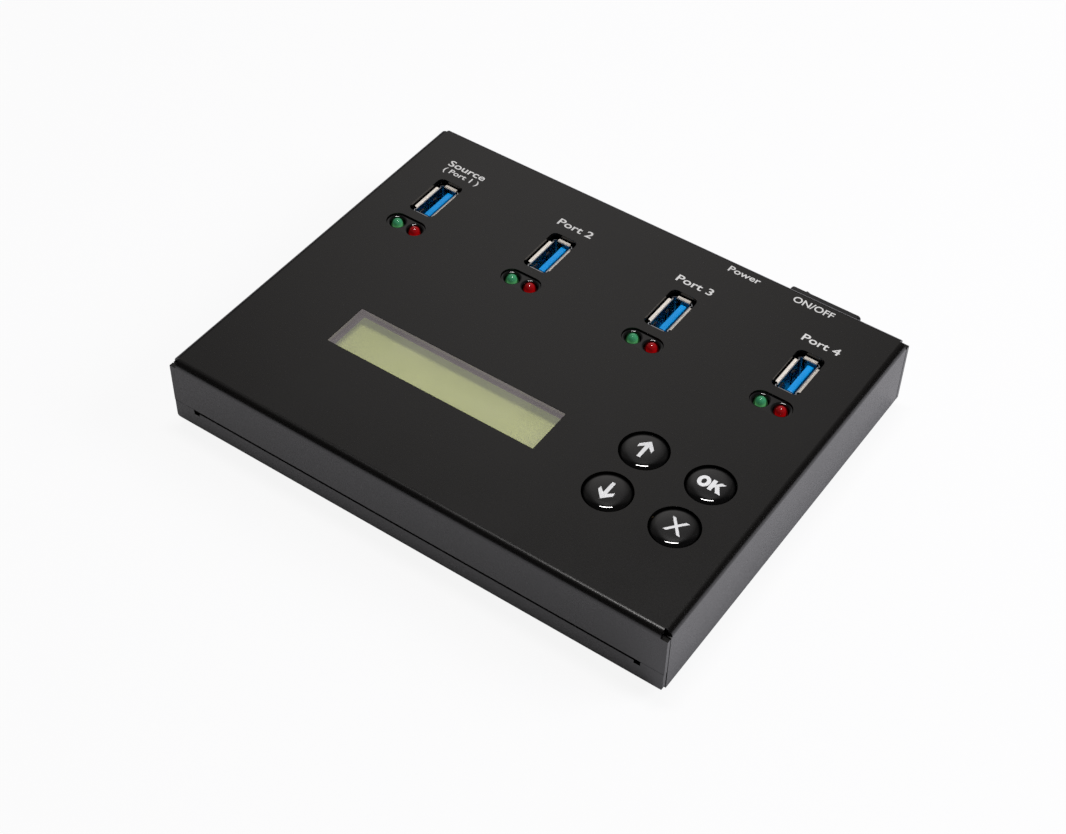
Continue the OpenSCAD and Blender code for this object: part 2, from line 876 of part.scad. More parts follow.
module usb_contacts(i) {
    contact_t = 0.15;
    near_pitch = 2.2;
    far_pitch = 1.6;
    near_top = tongue_top_z - 4.4;
    foot_top = board_top_z + port_foot_h;
    color("#c9a24a")
        at_port(i)
            translate([tongue_x - contact_t, 0, 0]) {
                for (n = [-1.5, -0.5, 0.5, 1.5])
                    translate([0, n * near_pitch - 0.35, foot_top])
                        cube([contact_t, 0.7, near_top - foot_top]);
                for (n = [-2:2])
                    translate([0, n * far_pitch * 1.2 - 0.35, tongue_top_z - 3.2])
                        cube([contact_t, 0.7, 2.4]);
            }
}

// Lamps --------------------------------------------------------------------------

holder_w = well_d + 2 * well_wall;
holder_len = lamp_pitch + holder_w;
holder_gap = 0.1;
lamp_seat_z = case_h - lamp_h;
lamp_rim_d = lamp_d + 0.8;
lamp_rim_h = 1;
lamp_lead_pitch = 2.54;

module lamp_holder(i) {
    holder_top_z = case_h - holder_drop;
    color("#161617")
        at_lamp_pair(i)
            difference() {
                translate([0, 0, board_top_z])
                    linear_extrude(holder_top_z - board_top_z) stadium_outline(holder_len, holder_w);
                for (side = [-1, 1])
                    translate([side * lamp_pitch / 2, 0, 0]) {
                        translate([0, 0, lamp_seat_z]) cylinder(h = lamp_h, d = well_d);
                        for (leg = [-1, 1])
                            translate([leg * lamp_lead_pitch / 2, 0, board_top_z - 1])
                                cylinder(h = case_h, d = 1, $fn = 24);
                    }
            }
}

// A lamp with its two leads; it stands on the floor of its well
module lamp(i, side, tint) {
    r = lamp_d / 2;
    lead_w = 0.5;
    color(tint)
        at_lamp_pair(i)
            translate([side * lamp_pitch / 2, 0, lamp_seat_z]) {
                cylinder(h = lamp_rim_h, d = lamp_rim_d);
                cylinder(h = lamp_h - r, r = r);
                translate([0, 0, lamp_h - r])
                    rotate_extrude()
                        intersection() {
                            circle(r);
                            square(r);
                        }
                for (leg = [-1, 1])
                    translate([
                        leg * lamp_lead_pitch / 2 - lead_w / 2,
                        -lead_w / 2,
                        board_top_z - lamp_seat_z
                    ])
                        cube([lead_w, lead_w, lamp_seat_z - board_top_z + lamp_rim_h / 2]);
            }
}

// Power switch ---------------------------------------------------------------------

// Frame of the switch: x to the right, y outwards from the pivot, z up
module at_switch() {
    in_case() translate([switch_x, pivot_y, switch_z]) children();
}

module rocker_housing() {
    cavity_w = 2 * (paddle_r + paddle_gap);
    cavity_h = paddle_w + 2 * paddle_gap;
    inner_face = paddle_sink - bezel_t;
    body_front = rear_inside_y - body_depth - pivot_y;
    clip_t = 0.8;
    color("#141415")
        at_switch()
            difference() {
                union() {
                    translate([0, inner_face + bezel_t, 0])
                        rotate([90, 0, 0])
                            linear_extrude(bezel_t) rounded_outline(bezel_w, bezel_h, 1);
                    translate([-body_w / 2, body_front, -body_h / 2])
                        cube([body_w, inner_face - body_front + 0.5, body_h]);
                    for (side = [-1, 1])
                        translate([side * body_w / 2, inner_face - sheet_t - 0.1, -2])
                            linear_extrude(4)
                                polygon([[0, 0], [side * clip_t, -0.4], [0, -4]]);
                }
                translate([-cavity_w / 2, paddle_sink - cavity_depth, -cavity_h / 2])
                    cube([cavity_w, cavity_depth + 1, cavity_h]);
                translate([0, 0, -axle_reach - 0.3])
                    cylinder(h = 2 * axle_reach + 0.6, d = paddle_axle_d + 0.12);
                for (side = [-1, 1])
                    translate([side * blade_x - blade_t / 2 - seat, body_front - 1, -blade_w / 2 - seat])
                        cube([blade_t + 2 * seat, 3, blade_w + 2 * seat]);
            }
}

axle_reach = paddle_w / 2 + paddle_gap + 0.8;

module rocker_paddle() {
    corner = paddle_r * [cos(paddle_end_a), sin(paddle_end_a)];
    side_x = paddle_r + 1;
    shoulder = 1.2;
    color("#1a1a1b")
        at_switch()
            rotate([0, 0, -paddle_tilt]) {
                translate([0, 0, -paddle_w / 2])
                    linear_extrude(paddle_w)
                        intersection() {
                            circle(paddle_r, $fn = 128);
                            polygon([
                                [0, paddle_mid], corner, [side_x, corner.y], [side_x, -shoulder],
                                [paddle_keel_w / 2, -paddle_keel_d], [-paddle_keel_w / 2, -paddle_keel_d],
                                [-side_x, -shoulder], [-side_x, corner.y], [-corner.x, corner.y]
                            ]);
                        }
                translate([0, 0, -axle_reach]) cylinder(h = 2 * axle_reach, d = paddle_axle_d);
            }
}

module rocker_terminals() {
    color("#c7b37a")
        at_switch()
            for (side = [-1, 1])
                translate([
                    side * blade_x - blade_t / 2,
                    switch_back_y - pivot_y - blade_len,
                    -blade_w / 2
                ])
                    cube([blade_t, blade_len + 1.9, blade_w]);
}

// Rings of a lead, each a centre with the two directions that span it: from the end of a
// terminal towards -Y, round to -X, along to the connector and down into it
function lead_rings(from_x, to_x, z, top_z) = concat(
    [for (a = [0:15:90])
        [[from_x - lead_bend_r * (1 - cos(a)), lead_y + lead_bend_r * (1 - sin(a)), z],
            [cos(a), -sin(a), 0], [0, 0, 1]]],
    [for (a = [0:15:90])
        [[to_x + lead_bend_r * (1 - sin(a)), lead_y, z - lead_bend_r * (1 - cos(a))],
            [0, -1, 0], [-sin(a), 0, cos(a)]]],
    [[[to_x, lead_y, top_z], [0, -1, 0], [-1, 0, 0]]]
);

// Round tube through a list of rings
module tube_through(rings, r) {
    sides = 8;
    last = len(rings) - 1;
    polyhedron(
        points = [
            for (ring = rings, n = [0:sides - 1])
                let (a = 360 * n / sides)
                    ring[0] + r * (cos(a) * ring[1] + sin(a) * ring[2])
        ],
        faces = concat(
            [[for (n = [0:sides - 1]) n]],
            [
                for (k = [0:last - 1], n = [0:sides - 1])
                    let (a = k * sides + n, b = k * sides + (n + 1) % sides)
                        [b, a, a + sides, b + sides]
            ],
            [[for (n = [sides - 1:-1:0]) last * sides + n]]
        )
    );
}

module switch_leads() {
    color("#b02020")
        in_case()
            for (side = [-1, 1])
                tube_through(
                    lead_rings(
                        switch_x + side * blade_x,
                        connector_x - side * lead_pitch / 2,
                        switch_z + side * lead_rise,
                        board_top_z + connector_h
                    ),
                    lead_d / 2
                );
}

module switch_connector() {
    color("#ece9df")
        on_board(connector_x, lead_y)
            translate([-lead_pitch, -connector_d / 2, 0])
                cube([2 * lead_pitch, connector_d, connector_h]);
}

// Power inlet ------------------------------------------------------------------------

module at_jack() {
    in_case() translate([jack_x, rear_inside_y - seat, jack_z]) rotate([90, 0, 0]) children();
}

module dc_jack_body() {
    color("#18181a")
        at_jack()
            difference() {
                translate([-jack_w / 2, -jack_axis_h, 0]) cube([jack_w, jack_h, jack_len]);
                translate([0, 0, -1]) cylinder(h = jack_bore_len + 1, d = jack_bore_d);
                translate([0, 0, jack_bore_len - 1])
                    cylinder(h = jack_len, d = jack_pin_d + 2 * seat);
            }
}

module dc_jack_contacts() {
    tip_r = jack_pin_d / 2;
    pin_start = 1;
    color(steel)
        at_jack()
            rotate_extrude()
                polygon([
                    [0, pin_start], [tip_r * 0.5, pin_start], [tip_r, pin_start + 0.8],
                    [tip_r, jack_len + 0.6], [0, jack_len + 0.6]
                ]);
}

// Assembly ---------------------------------------------------------------------------

top_cover();
bottom_tray();
rubber_feet();
case_screws();
cover_standoffs();
board_spacers();
main_board();
controller_chip();
memory_chips();
crystal();
capacitors();
inductor();
chip_resistors();
display_pane();
lcd_frame();
lcd_glass();
lcd_backlight();
lcd_board();
lcd_header();
lcd_spacers();
tact_housings();
for (k = KEYS) {
    key_cap(k);
    plunger(k);
}
for (i = PORTS) {
    usb_shell(i);
    usb_tongue(i);
    usb_contacts(i);
    lamp_holder(i);
    lamp(i, -1, "#3f9a5a");
    lamp(i, 1, "#b01414");
}
rocker_housing();
rocker_paddle();
rocker_terminals();
switch_leads();
switch_connector();
dc_jack_body();
dc_jack_contacts();
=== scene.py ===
"""Models and finishes a four-port flash drive copier round its fixed frame, in a plain studio."""

import math

import bmesh
import bpy
from bpy.props import FloatProperty, FloatVectorProperty, PointerProperty
from bpy.types import Operator, Panel, PropertyGroup
from mathutils import Matrix, Vector


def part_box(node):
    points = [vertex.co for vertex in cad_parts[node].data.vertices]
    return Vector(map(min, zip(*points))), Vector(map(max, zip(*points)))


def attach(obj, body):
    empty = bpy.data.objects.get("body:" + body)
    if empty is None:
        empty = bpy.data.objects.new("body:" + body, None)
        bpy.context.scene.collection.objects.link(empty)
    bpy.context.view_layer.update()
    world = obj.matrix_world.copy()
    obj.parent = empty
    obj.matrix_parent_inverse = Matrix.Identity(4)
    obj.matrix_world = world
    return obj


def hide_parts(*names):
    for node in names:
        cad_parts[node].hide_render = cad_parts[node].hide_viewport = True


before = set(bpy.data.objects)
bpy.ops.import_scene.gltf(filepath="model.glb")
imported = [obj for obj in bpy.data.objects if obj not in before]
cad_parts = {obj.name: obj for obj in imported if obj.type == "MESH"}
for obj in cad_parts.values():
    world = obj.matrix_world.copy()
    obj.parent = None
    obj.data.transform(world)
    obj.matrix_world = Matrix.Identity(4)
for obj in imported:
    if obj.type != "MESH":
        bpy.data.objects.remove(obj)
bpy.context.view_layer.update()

bl_info = {
    "name": "Flash Drive Copier",
    "version": (1, 0, 0),
    "blender": (4, 5, 0),
    "location": "3D View > Sidebar > Copier",
    "description": "Builds the case, display, keys, ports, lamps and switch of a flash drive copier",
    "category": "Add Mesh",
}

MM = 0.001
QUARTER = math.pi / 2
MERGE = 1e-6
LETTER_MERGE = 1e-5
LETTER_CAPITAL = 0.73
LETTER_BOLD = 0.014
PORTS = range(1, 5)
KEYS = ("up", "down", "ok", "cancel")
WELL_RADIUS = 2.6 * MM
LAMP_HEIGHT = 5.3 * MM
LAMP_PROUD = 0.38 * MM
HALF_PITCH = 1.27 * MM
HAIR = 0.01 * MM
CAMERA_PLACE = (0.196364, -0.299462, 0.377981)
CAMERA_TURN = (43.1752, -1.0406, 34.9281)
TENT_COVER = ((0.0, 1.0), (0.40, 0.99), (0.52, 0.95), (0.66, 0.92), (1.0, 0.9))
TENT_BACK = (-0.5225, 0.8526, 0.0)
TENT_REAR = ((0.15, 0.0), (0.40, 1.0))
TENT_WINDOW = 0.58
WINDOW_TALL = ((0.25, 0.0), (0.45, 1.0), (0.725, 1.0), (0.83, 0.0))
WINDOW_WIDE = ((0.76, 0.0), (0.92, 0.33), (1.0, 1.0))
TENT_WEAVE = 0.972
TENT_CLOTH = (0.01, 0.01, 0.01)
TENT_CLEAR = (1.0, 0.965, 0.945)
# Painted glow of the unlit display, standing in for light scattered into it under the sheet
GLASS_PAINTED_GLOW = {"Emission_Color": (0.50, 0.72, 0.10), "Emission_Strength": 0.11}
# Strength of the lenses' painted glow, and the depth over which they are painted lighter towards the bottom
LENS_PAINTED_GLOW = 0.34
LENS_PAINTED_LIGHT_REACH = 1.6 * MM
BEND_STEPS = 10
DOME_STEPS = 44
MARK_PROUD = 0.03 * MM
MARK_DEPTH = 0.12 * MM
MARK_STEP = 0.8 * MM
ARROW = ((0.1, 3.2), (-2.1, 1.0), (-2.0, -0.15), (-0.5, 1.15), (-0.48, -2.85), (0.48, -2.85), (0.55, 1.15),
         (2.0, -0.15), (2.1, 1.0))
LETTER_K = ((0.0, -2.0), (1.1, -2.0), (1.1, -0.85), (1.42, -0.42), (2.3, -2.0), (3.64, -2.0), (2.2, 0.3),
            (3.5, 1.57), (2.2, 1.57), (1.1, 0.3), (1.1, 1.57), (0.0, 1.57))


# Settings


def length(name, description, default):
    """A size in metres."""
    return FloatProperty(name=name, description=description, default=default, min=0, unit="LENGTH",
                         subtype="DISTANCE", precision=5)


def colour(name, description, default):
    """A linear colour."""
    return FloatVectorProperty(name=name, description=description, default=default, min=0, max=1, size=3,
                               subtype="COLOR")


def place(name, description, default):
    """A place in metres."""
    return FloatVectorProperty(name=name, description=description, default=default, size=3, unit="LENGTH",
                               subtype="TRANSLATION")


def share(name, description, default):
    """A number from 0 to 1."""
    return FloatProperty(name=name, description=description, default=default, min=0, max=1,
                         subtype="FACTOR")


def strength(name, description, default):
    """A number from 0 up."""
    return FloatProperty(name=name, description=description, default=default, min=0)


class CaseSettings(PropertyGroup):
    """Sheet steel cover and tray"""

    sheet: length("Sheet", "Thickness of the sheet steel", 1.2 * MM)
    bend: length("Bend", "Outer radius of the bends", 2 * MM)
    edge: length("Edge", "Rounding of the painted sheet edges", 0.38 * MM)
    port_corner: length("Port corner", "Corner radius of the holes for the ports", 1.7 * MM)
    paint: colour("Paint", "Colour of the powder coat", (0.0028, 0.0025, 0.0024))
    paint_roughness: share("Paint roughness", "Roughness of the powder coat", 0.28)
    grain: length("Grain", "Size of the powder coat's grain", 0.35 * MM)


class DisplaySettings(PropertyGroup):
    """Window, display and its haze"""

    window_width: length("Window width", "Width of the window in the cover", 64.5 * MM)
    window_depth: length("Window depth", "Depth of the window in the cover", 14.5 * MM)
    glass: colour("Glass", "Colour of the display", (0.56, 0.60, 0.225))
    haze: colour("Haze", "Colour of the pane's haze", (0.95, 0.85, 0.88))
    haze_cover: share("Haze cover", "How much the pane's haze hides", 0.165)
    reveal_ends: length("End reveal", "How far the frame stands back from the window's ends", 1.0 * MM)
    reveal_sides: length("Side reveal", "How far the frame stands back from the window's long sides", 1.9 * MM)
    frame_black: colour("Frame", "Colour of the display's metal frame", (0.012, 0.012, 0.013))


class KeySettings(PropertyGroup):
    """Round key caps and their marks"""

    dome: length("Dome", "Height of the cap's dome above its straight side", 1.66 * MM)
    fullness: FloatProperty(name="Fullness", description="How flat the dome is before its edge rolls down",
                            default=3.2, min=2)
    cap: colour("Cap", "Colour of the caps", (0.0014, 0.0014, 0.0015))
    ink: colour("Ink", "Colour of the marks", (0.86, 0.87, 0.88))


class PortSettings(PropertyGroup):
    """USB sockets"""

    plate: length("Plate", "Thickness of the shell's sheet", 0.3 * MM)
    lip: length("Lip", "How far the lips reach outwards", 0.8 * MM)
    corner: length("Corner", "Radius of the shell's corners", 0.8 * MM)
    ivory: colour("Lips", "Colour of the tinned lips", (0.95, 0.885, 0.80))
    nickel: colour("Nickel", "Colour of the plated shell", (0.50, 0.52, 0.55))
    tongue: colour("Tongue", "Colour of the tongue", (0.0, 0.33, 0.85))
    gold: colour("Gold", "Colour of the contacts", (0.86, 0.6, 0.24))


class LampSettings(PropertyGroup):
    """Lamps and their holders"""

    green: colour("Green", "Colour of the green lenses", (0.045, 0.28, 0.125))
    red: colour("Red", "Colour of the red lenses", (0.30, 0.004, 0.006))
    holder: colour("Holder", "Colour of the lamp holders", (0.004, 0.004, 0.0042))


class SwitchSettings(PropertyGroup):
    """Rocker switch"""

    bezel: length("Bezel", "Thickness of the bezel", 2 * MM)
    pivot_sink: length("Pivot depth", "Depth of the paddle's axle behind the bezel's face", 1.2126 * MM)
    paddle_radius: length("Paddle radius", "Reach of the paddle's ends from its axle", 8.3 * MM)
    paddle_width: length("Paddle width", "Width of the paddle along its axle", 9.8 * MM)
    tilt: FloatProperty(name="Tilt", description="Tilt of the paddle at rest, in degrees", default=10)


class PrintSettings(PropertyGroup):
    """White print on the cover"""

    ink: colour("Ink", "Colour of the print", (0.70, 0.70, 0.69))
    height: length("Height", "Thickness of the ink", 0.02 * MM)


class StudioSettings(PropertyGroup):
    """Floor, lights and camera"""

    lens: FloatProperty(name="Lens", description="Focal length of the camera", default=66.11, min=1,
                        unit="CAMERA", subtype="DISTANCE_CAMERA")
    floor: colour("Floor", "Colour of the floor", (0.885, 0.88, 0.93))
    lift: share("Lift", "How much the floor is lifted to plain white where it is seen", 0.9)
    tent: length("Tent", "Radius of the floor and of the tent over it", 1.2)
    sky: strength("Sky", "Strength of the white surroundings", 1.0)
    sky_tint: colour("Sky tint", "Colour of the surroundings", (1.0, 0.97, 0.96))
    key_place: place("Key place", "Place of the key light", (-0.04, 0.065, 1.0))
    key_width: length("Key width", "Long side of the key light", 0.33)
    key_depth: length("Key depth", "Short side of the key light", 0.056)
    key_power: strength("Key power", "Power of the key light in watts", 4.6)
    key_tint: colour("Key tint", "Colour of the key light", (1.0, 0.98, 0.97))
    fill_place: place("Fill place", "Place of the fill light", (0.75, 0.4, 0.6))
    fill_size: length("Fill size", "Side of the fill light", 0.5)
    fill_power: strength("Fill power", "Power of the fill light in watts", 7.1)
    overhead_place: place("Overhead place", "Place of the overhead light", (0.0, 0.0, 1.1))
    overhead_size: length("Overhead size", "Side of the overhead light", 1.2)
    overhead_power: strength("Overhead power", "Power of the overhead light in watts", 0.3)
    fill_tint: colour("Fill tint", "Colour of the fill and overhead lights", (0.97, 0.97, 1.0))


# Shading


def maths(operation, turned=False):
    """An operator of Value that adds one Math node, with its terms turned round for a reflected form."""

    def method(self, other):
        terms = (other, self) if turned else (self, other)
        return self.shader.node("ShaderNodeMath", {"operation": operation}, dict(enumerate(terms)))

    return method


class Value:
    """A node's output; arithmetic on it adds maths nodes."""

    def __init__(self, shader, socket):
        self.shader = shader
        self.socket = socket

    __add__, __radd__ = maths("ADD"), maths("ADD", True)
    __sub__, __rsub__ = maths("SUBTRACT"), maths("SUBTRACT", True)
    __mul__, __rmul__ = maths("MULTIPLY"), maths("MULTIPLY", True)
    __truediv__, __rtruediv__ = maths("DIVIDE"), maths("DIVIDE", True)
    __pow__, __rpow__ = maths("POWER"), maths("POWER", True)
    __lt__ = maths("LESS_THAN")


class Shader:
    """A material, or the light of a world, that is put together from nodes."""

    def __init__(self, name, owner=None):
        self.material = owner or bpy.data.materials.new(f"copier {name}")
        self.material.use_nodes = True
        self.tree = self.material.node_tree
        self.tree.nodes.clear()

    def node(self, kind, settings=None, inputs=None, output=0):
        """Adds one node, with its settings first, then its sockets' values or links."""
        made = self.tree.nodes.new(kind)
        for key, value in (settings or {}).items():
            if key == "stops":
                self.stops(made.color_ramp, value)
            else:
                setattr(made, key, value)
        for key, value in (inputs or {}).items():
            self.feed(made.inputs[key], value)
        return Value(self, made.outputs[output]) if made.outputs else made

    def stops(self, ramp, stops):
        """Sets the stops of a colour ramp, each a place and a grey level or colour."""
        while len(ramp.elements) < len(stops):
            ramp.elements.new(1)
        for element, (place, tone) in zip(ramp.elements, stops):
            element.position = place
            element.color = rgba(tone)

    def feed(self, socket, value):
        """Links a value to a socket, or writes a plain one."""
        if isinstance(value, Value):
            self.tree.links.new(value.socket, socket)
        elif socket.type == "RGBA":
            socket.default_value = rgba(value)
        else:
            socket.default_value = value

    def position(self):
        """Place on the piece, in metres in the frame."""
        return self.node("ShaderNodeTexCoord", {}, {}, "Object")

    def part(self, vector, index):
        """One coordinate of a place or direction."""
        return self.node("ShaderNodeSeparateXYZ", {}, {0: vector}, index)

    def noise(self, size, detail=3, roughness=0.55, vector=None):
        """Noise whose features are about size metres across."""
        sockets = {"Vector": vector or self.position(), "Scale": 1 / size, "Detail": detail}
        return self.node("ShaderNodeTexNoise", {}, {**sockets, "Roughness": roughness})

    def vectors(self, operation, first, second, output=0):
        """Maths on two places or directions."""
        return self.node("ShaderNodeVectorMath", {"operation": operation}, {0: first, 1: second}, output)

    def ramp(self, value, *stops):
        """Maps a value through a colour ramp."""
        return self.node("ShaderNodeValToRGB", {"stops": stops}, {0: value})

    def mix(self, factor, first, second):
        """Mixes two colours."""
        inputs = {"Factor": factor, 6: first, 7: second}
        return self.node("ShaderNodeMix", {"data_type": "RGBA"}, inputs, 2)

    def bump(self, height, distance, strength):
        """A bumped normal from a height between 0 and 1."""
        sockets = {"Height": height, "Distance": distance, "Strength": strength}
        return self.node("ShaderNodeBump", {}, sockets)

    def blended(self, factor, first, second):
        """Finishes the material with a mix of two surfaces."""
        mixed = self.node("ShaderNodeMixShader", {}, {0: factor, 1: first, 2: second})
        self.node("ShaderNodeOutputMaterial", {}, {"Surface": mixed})
        return self.material

    def surface(self, **sockets):
        """Finishes the material with a Principled surface."""
        named = {key.replace("_", " "): value for key, value in sockets.items()}
        made = self.node("ShaderNodeBsdfPrincipled", {}, named)
        self.node("ShaderNodeOutputMaterial", {}, {"Surface": made})
        return self.material


def rgba(tone):
    """A colour with four channels from a grey level or a colour."""
    if isinstance(tone, (int, float)):
        return (tone, tone, tone, 1)
    return (*tone[:3], 1)


def darker(tone, factor):
    """A colour times a factor."""
    return tuple(channel * factor for channel in tone[:3])


def powder_coat(name, settings):
    """Satin powder coat: a pebbled grain and a slow drift of gloss."""
    s = Shader(name)
    grain = s.noise(settings.grain, detail=2, roughness=0.6)
    fine = s.noise(settings.grain / 3, detail=1)
    drift = s.noise(28 * MM, detail=2)
    pale, dark = darker(settings.paint, 1.16), darker(settings.paint, 0.86)
    tone = s.ramp(drift * 0.7 + grain * 0.3, (0.3, dark), (0.72, pale))
    rough = settings.paint_roughness + (drift - 0.5) * 0.08 + (grain - 0.5) * 0.10
    bump = s.bump(grain * 0.7 + fine * 0.3, 0.02 * MM, 0.55)
    return s.surface(Base_Color=tone, Roughness=rough, Normal=bump, IOR=1.55)


def moulded(name, tone, roughness, depth=0.01 * MM):
    """Moulded plastic or rubber with a fine grain."""
    s = Shader(name)
    mottle = s.noise(0.25 * MM, detail=2)
    drift = s.noise(9 * MM, detail=2)
    base = s.ramp(drift, (0.3, darker(tone, 0.9)), (0.7, darker(tone, 1.08)))
    rough = roughness + (mottle - 0.5) * 0.12
    bump = s.bump(mottle, depth, 0.5)
    return s.surface(Base_Color=base, Roughness=rough, Normal=bump)


def plated(name, tone, roughness, stretch=(1, 1, 12)):
    """Plated sheet metal with fine draw lines along one axis."""
    s = Shader(name)
    squeezed = s.vectors("MULTIPLY", s.position(), stretch)
    lines = s.noise(0.12 * MM * max(stretch), detail=2, vector=squeezed)
    stain = s.noise(2.5 * MM, detail=3)
    base = s.ramp(stain, (0.25, darker(tone, 0.88)), (0.7, tone))
    rough = roughness + (lines - 0.5) * 0.16
    bump = s.bump(lines, 0.004 * MM, 0.4)
    return s.surface(Base_Color=base, Metallic=1.0, Roughness=rough, Normal=bump)


def circuit_board(name, mask, copper):
    """Solder mask over copper tracks, with bare pads."""
    s = Shader(name)
    tracks = s.node("ShaderNodeTexBrick", {"offset": 0.37, "squash": 1.4}, {
        "Vector": s.position(), "Scale": 220, "Mortar Size": 0.018, "Mortar Smooth": 0.1,
        "Brick Width": 0.9, "Row Height": 0.32, "Color1": 0.0, "Color2": 0.0, "Mortar": 1.0,
    })
    vias = s.node("ShaderNodeTexVoronoi", {}, {"Vector": s.position(), "Scale": 260}) < 0.16
    cloth = s.noise(0.9 * MM, detail=2)
    base = s.mix(s.ramp(tracks * 0.75, (0, 0.0), (1, 1.0)), darker(mask, 0.8), mask)
    base = s.mix(vias, base, copper)
    bump = s.bump(tracks * 0.6 + vias * 0.4 + cloth * 0.2, 0.02 * MM, 0.6)
    rough = 0.32 + (cloth - 0.5) * 0.15
    return s.surface(Base_Color=base, Roughness=rough, Metallic=vias * 0.9, Normal=bump)


# Modelling


def node_box(name):
    """Low corner, high corner and middle of a node of the frame."""
    low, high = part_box(name)
    return low, high, (low + high) / 2


def arc(centre, radius, start, end, steps):
    """Points of an arc between two angles, in degrees."""
    turn = [math.radians(start + (end - start) * step / steps) for step in range(steps + 1)]
    return [(centre[0] + radius * math.cos(a), centre[1] + radius * math.sin(a)) for a in turn]


def join(shape, other, matrix=None):
    """Moves other into shape, placed by the matrix."""
    if matrix:
        put(other, matrix)
    mesh = bpy.data.meshes.new("joined")
    other.to_mesh(mesh)
    other.free()
    shape.from_mesh(mesh)
    bpy.data.meshes.remove(mesh)
    return shape


def at(x, y, z=0.0, turn=0.0):
    """A place with a turn about the Z axis, in degrees."""
    return Matrix.Translation((x, y, z)) @ Matrix.Rotation(math.radians(turn), 4, "Z")


def move(shape, x, y, z=0.0):
    """Moves a shape."""
    bmesh.ops.translate(shape, vec=(x, y, z), verts=shape.verts)


def put(shape, matrix):
    """Puts a shape in its place."""
    bmesh.ops.transform(shape, matrix=matrix, verts=shape.verts)


def scale(shape, x, y, z=1.0):
    """Makes a shape larger or smaller about the origin."""
    bmesh.ops.scale(shape, vec=(x, y, z), verts=shape.verts)


def bevel(shape, parts, offset, segments, affect="EDGES"):
    """Rounds some edges or corners of a shape."""
    bmesh.ops.bevel(shape, geom=parts, offset=offset, segments=segments, profile=0.5, affect=affect,
                    material=-1)


def points_of(items):
    """The points among the parts that an operator gives back."""
    return [item for item in items if isinstance(item, bmesh.types.BMVert)]


def slice_at(shape, place, normal, dist=0.0):
    """Cuts all faces of a shape where a plane meets them."""
    everything = [*shape.verts, *shape.edges, *shape.faces]
    bmesh.ops.bisect_plane(shape, geom=everything, dist=dist, plane_co=place, plane_no=normal)


def turn_out(shape, up):
    """Turns all faces to one side, so that the widest level one looks up or down."""
    bmesh.ops.recalc_face_normals(shape, faces=shape.faces)
    widest = max(shape.faces, key=lambda face: face.calc_area() * abs(face.normal.z))
    if widest.normal.z * up < 0:
        bmesh.ops.reverse_faces(shape, faces=shape.faces)


def outline(points):
    """Closed outline in the XY plane."""
    shape = bmesh.new()
    verts = [shape.verts.new((x, y, 0)) for x, y in points]
    for pair in zip(verts, verts[1:] + verts[:1]):
        shape.edges.new(pair)
    return shape


def rectangle(width, depth, radius=0.0, segments=6):
    """Outline of a rectangle with rounded corners."""
    shape = bmesh.new()
    bmesh.ops.create_grid(shape, x_segments=1, y_segments=1, size=0.5)
    scale(shape, width, depth)
    if radius:
        bevel(shape, shape.verts[:], radius, segments, "VERTICES")
    bmesh.ops.delete(shape, geom=shape.faces[:], context="FACES_ONLY")
    return shape


def circle(radius, segments=48):
    """Outline of a circle."""
    shape = bmesh.new()
    bmesh.ops.create_circle(shape, radius=radius, segments=segments)
    return shape


def slot_shape(width, depth, segments):
    """Outline with half-round ends."""
    return rectangle(width, depth, depth / 2 - HAIR, segments)


def filled(outer, holes=()):
    """Flat face within an outline, around placed holes."""
    for hole, place in holes:
        join(outer, hole, place)
    bmesh.ops.triangle_fill(outer, use_beauty=True, use_dissolve=False, edges=outer.edges[:],
                            normal=(0, 0, 1))
    bmesh.ops.dissolve_limit(outer, angle_limit=0.01, verts=[], edges=outer.edges[:],
                             use_dissolve_boundaries=False)
    for face in outer.faces:
        if face.normal.z < 0:
            face.normal_flip()
    return outer


def solid(flat, height):
    """Extrudes a flat shape upwards into a closed solid."""
    everything = [*flat.faces, *flat.edges, *flat.verts]
    raised = bmesh.ops.extrude_face_region(flat, geom=everything)["geom"]
    bmesh.ops.translate(flat, vec=(0, 0, height), verts=points_of(raised))
    bmesh.ops.recalc_face_normals(flat, faces=flat.faces)
    return flat


def lathe(points, segments=64):
    """Turns a line of (radius, height) points about the Z axis."""
    shape = bmesh.new()
    verts = [shape.verts.new((radius, 0, height)) for radius, height in points]
    edges = [shape.edges.new(pair) for pair in zip(verts, verts[1:])]
    bmesh.ops.spin(shape, geom=verts + edges, cent=(0, 0, 0), axis=(0, 0, 1), angle=math.tau,
                   steps=segments, use_merge=True)
    bmesh.ops.remove_doubles(shape, verts=shape.verts, dist=MERGE)
    bmesh.ops.recalc_face_normals(shape, faces=shape.faces)
    return shape


def rounded_box(size, radius, segments=2):
    """Box about the origin with rounded edges."""
    shape = bmesh.new()
    bmesh.ops.create_cube(shape, size=1)
    scale(shape, *size)
    bevel(shape, shape.edges[:], radius, segments)
    return shape


def piece(name, shape, material, body="case", replaces=(), crease=40):
    """Turns a shape into a finished piece that rides on a body of the frame."""
    mesh = bpy.data.meshes.new(name)
    shape.to_mesh(mesh)
    shape.free()
    mesh.shade_smooth()
    mesh.set_sharp_from_angle(angle=math.radians(crease))
    made = bpy.data.objects.new(name, mesh)
    bpy.context.scene.collection.objects.link(made)
    for each in material if isinstance(material, list) else [material]:
        mesh.materials.append(each)
    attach(made, body)
    if replaces:
        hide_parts(*replaces)
    return made


def soften(made, width, segments=2, angle=40):
    """Rounds the sharp edges of a piece and keeps its flat faces flat."""
    bevel = made.modifiers.new("Edges", "BEVEL")
    bevel.width = width
    bevel.segments = segments
    bevel.limit_method = "ANGLE"
    bevel.angle_limit = math.radians(angle)
    shading = made.modifiers.new("Shading", "WEIGHTED_NORMAL")
    shading.weight = 90


def thicken(made, thickness):
    """Gives a piece of sheet its thickness, inwards."""
    sheet = made.modifiers.new("Sheet", "SOLIDIFY")
    sheet.thickness = thickness
    sheet.offset = -1
    sheet.use_even_offset = True


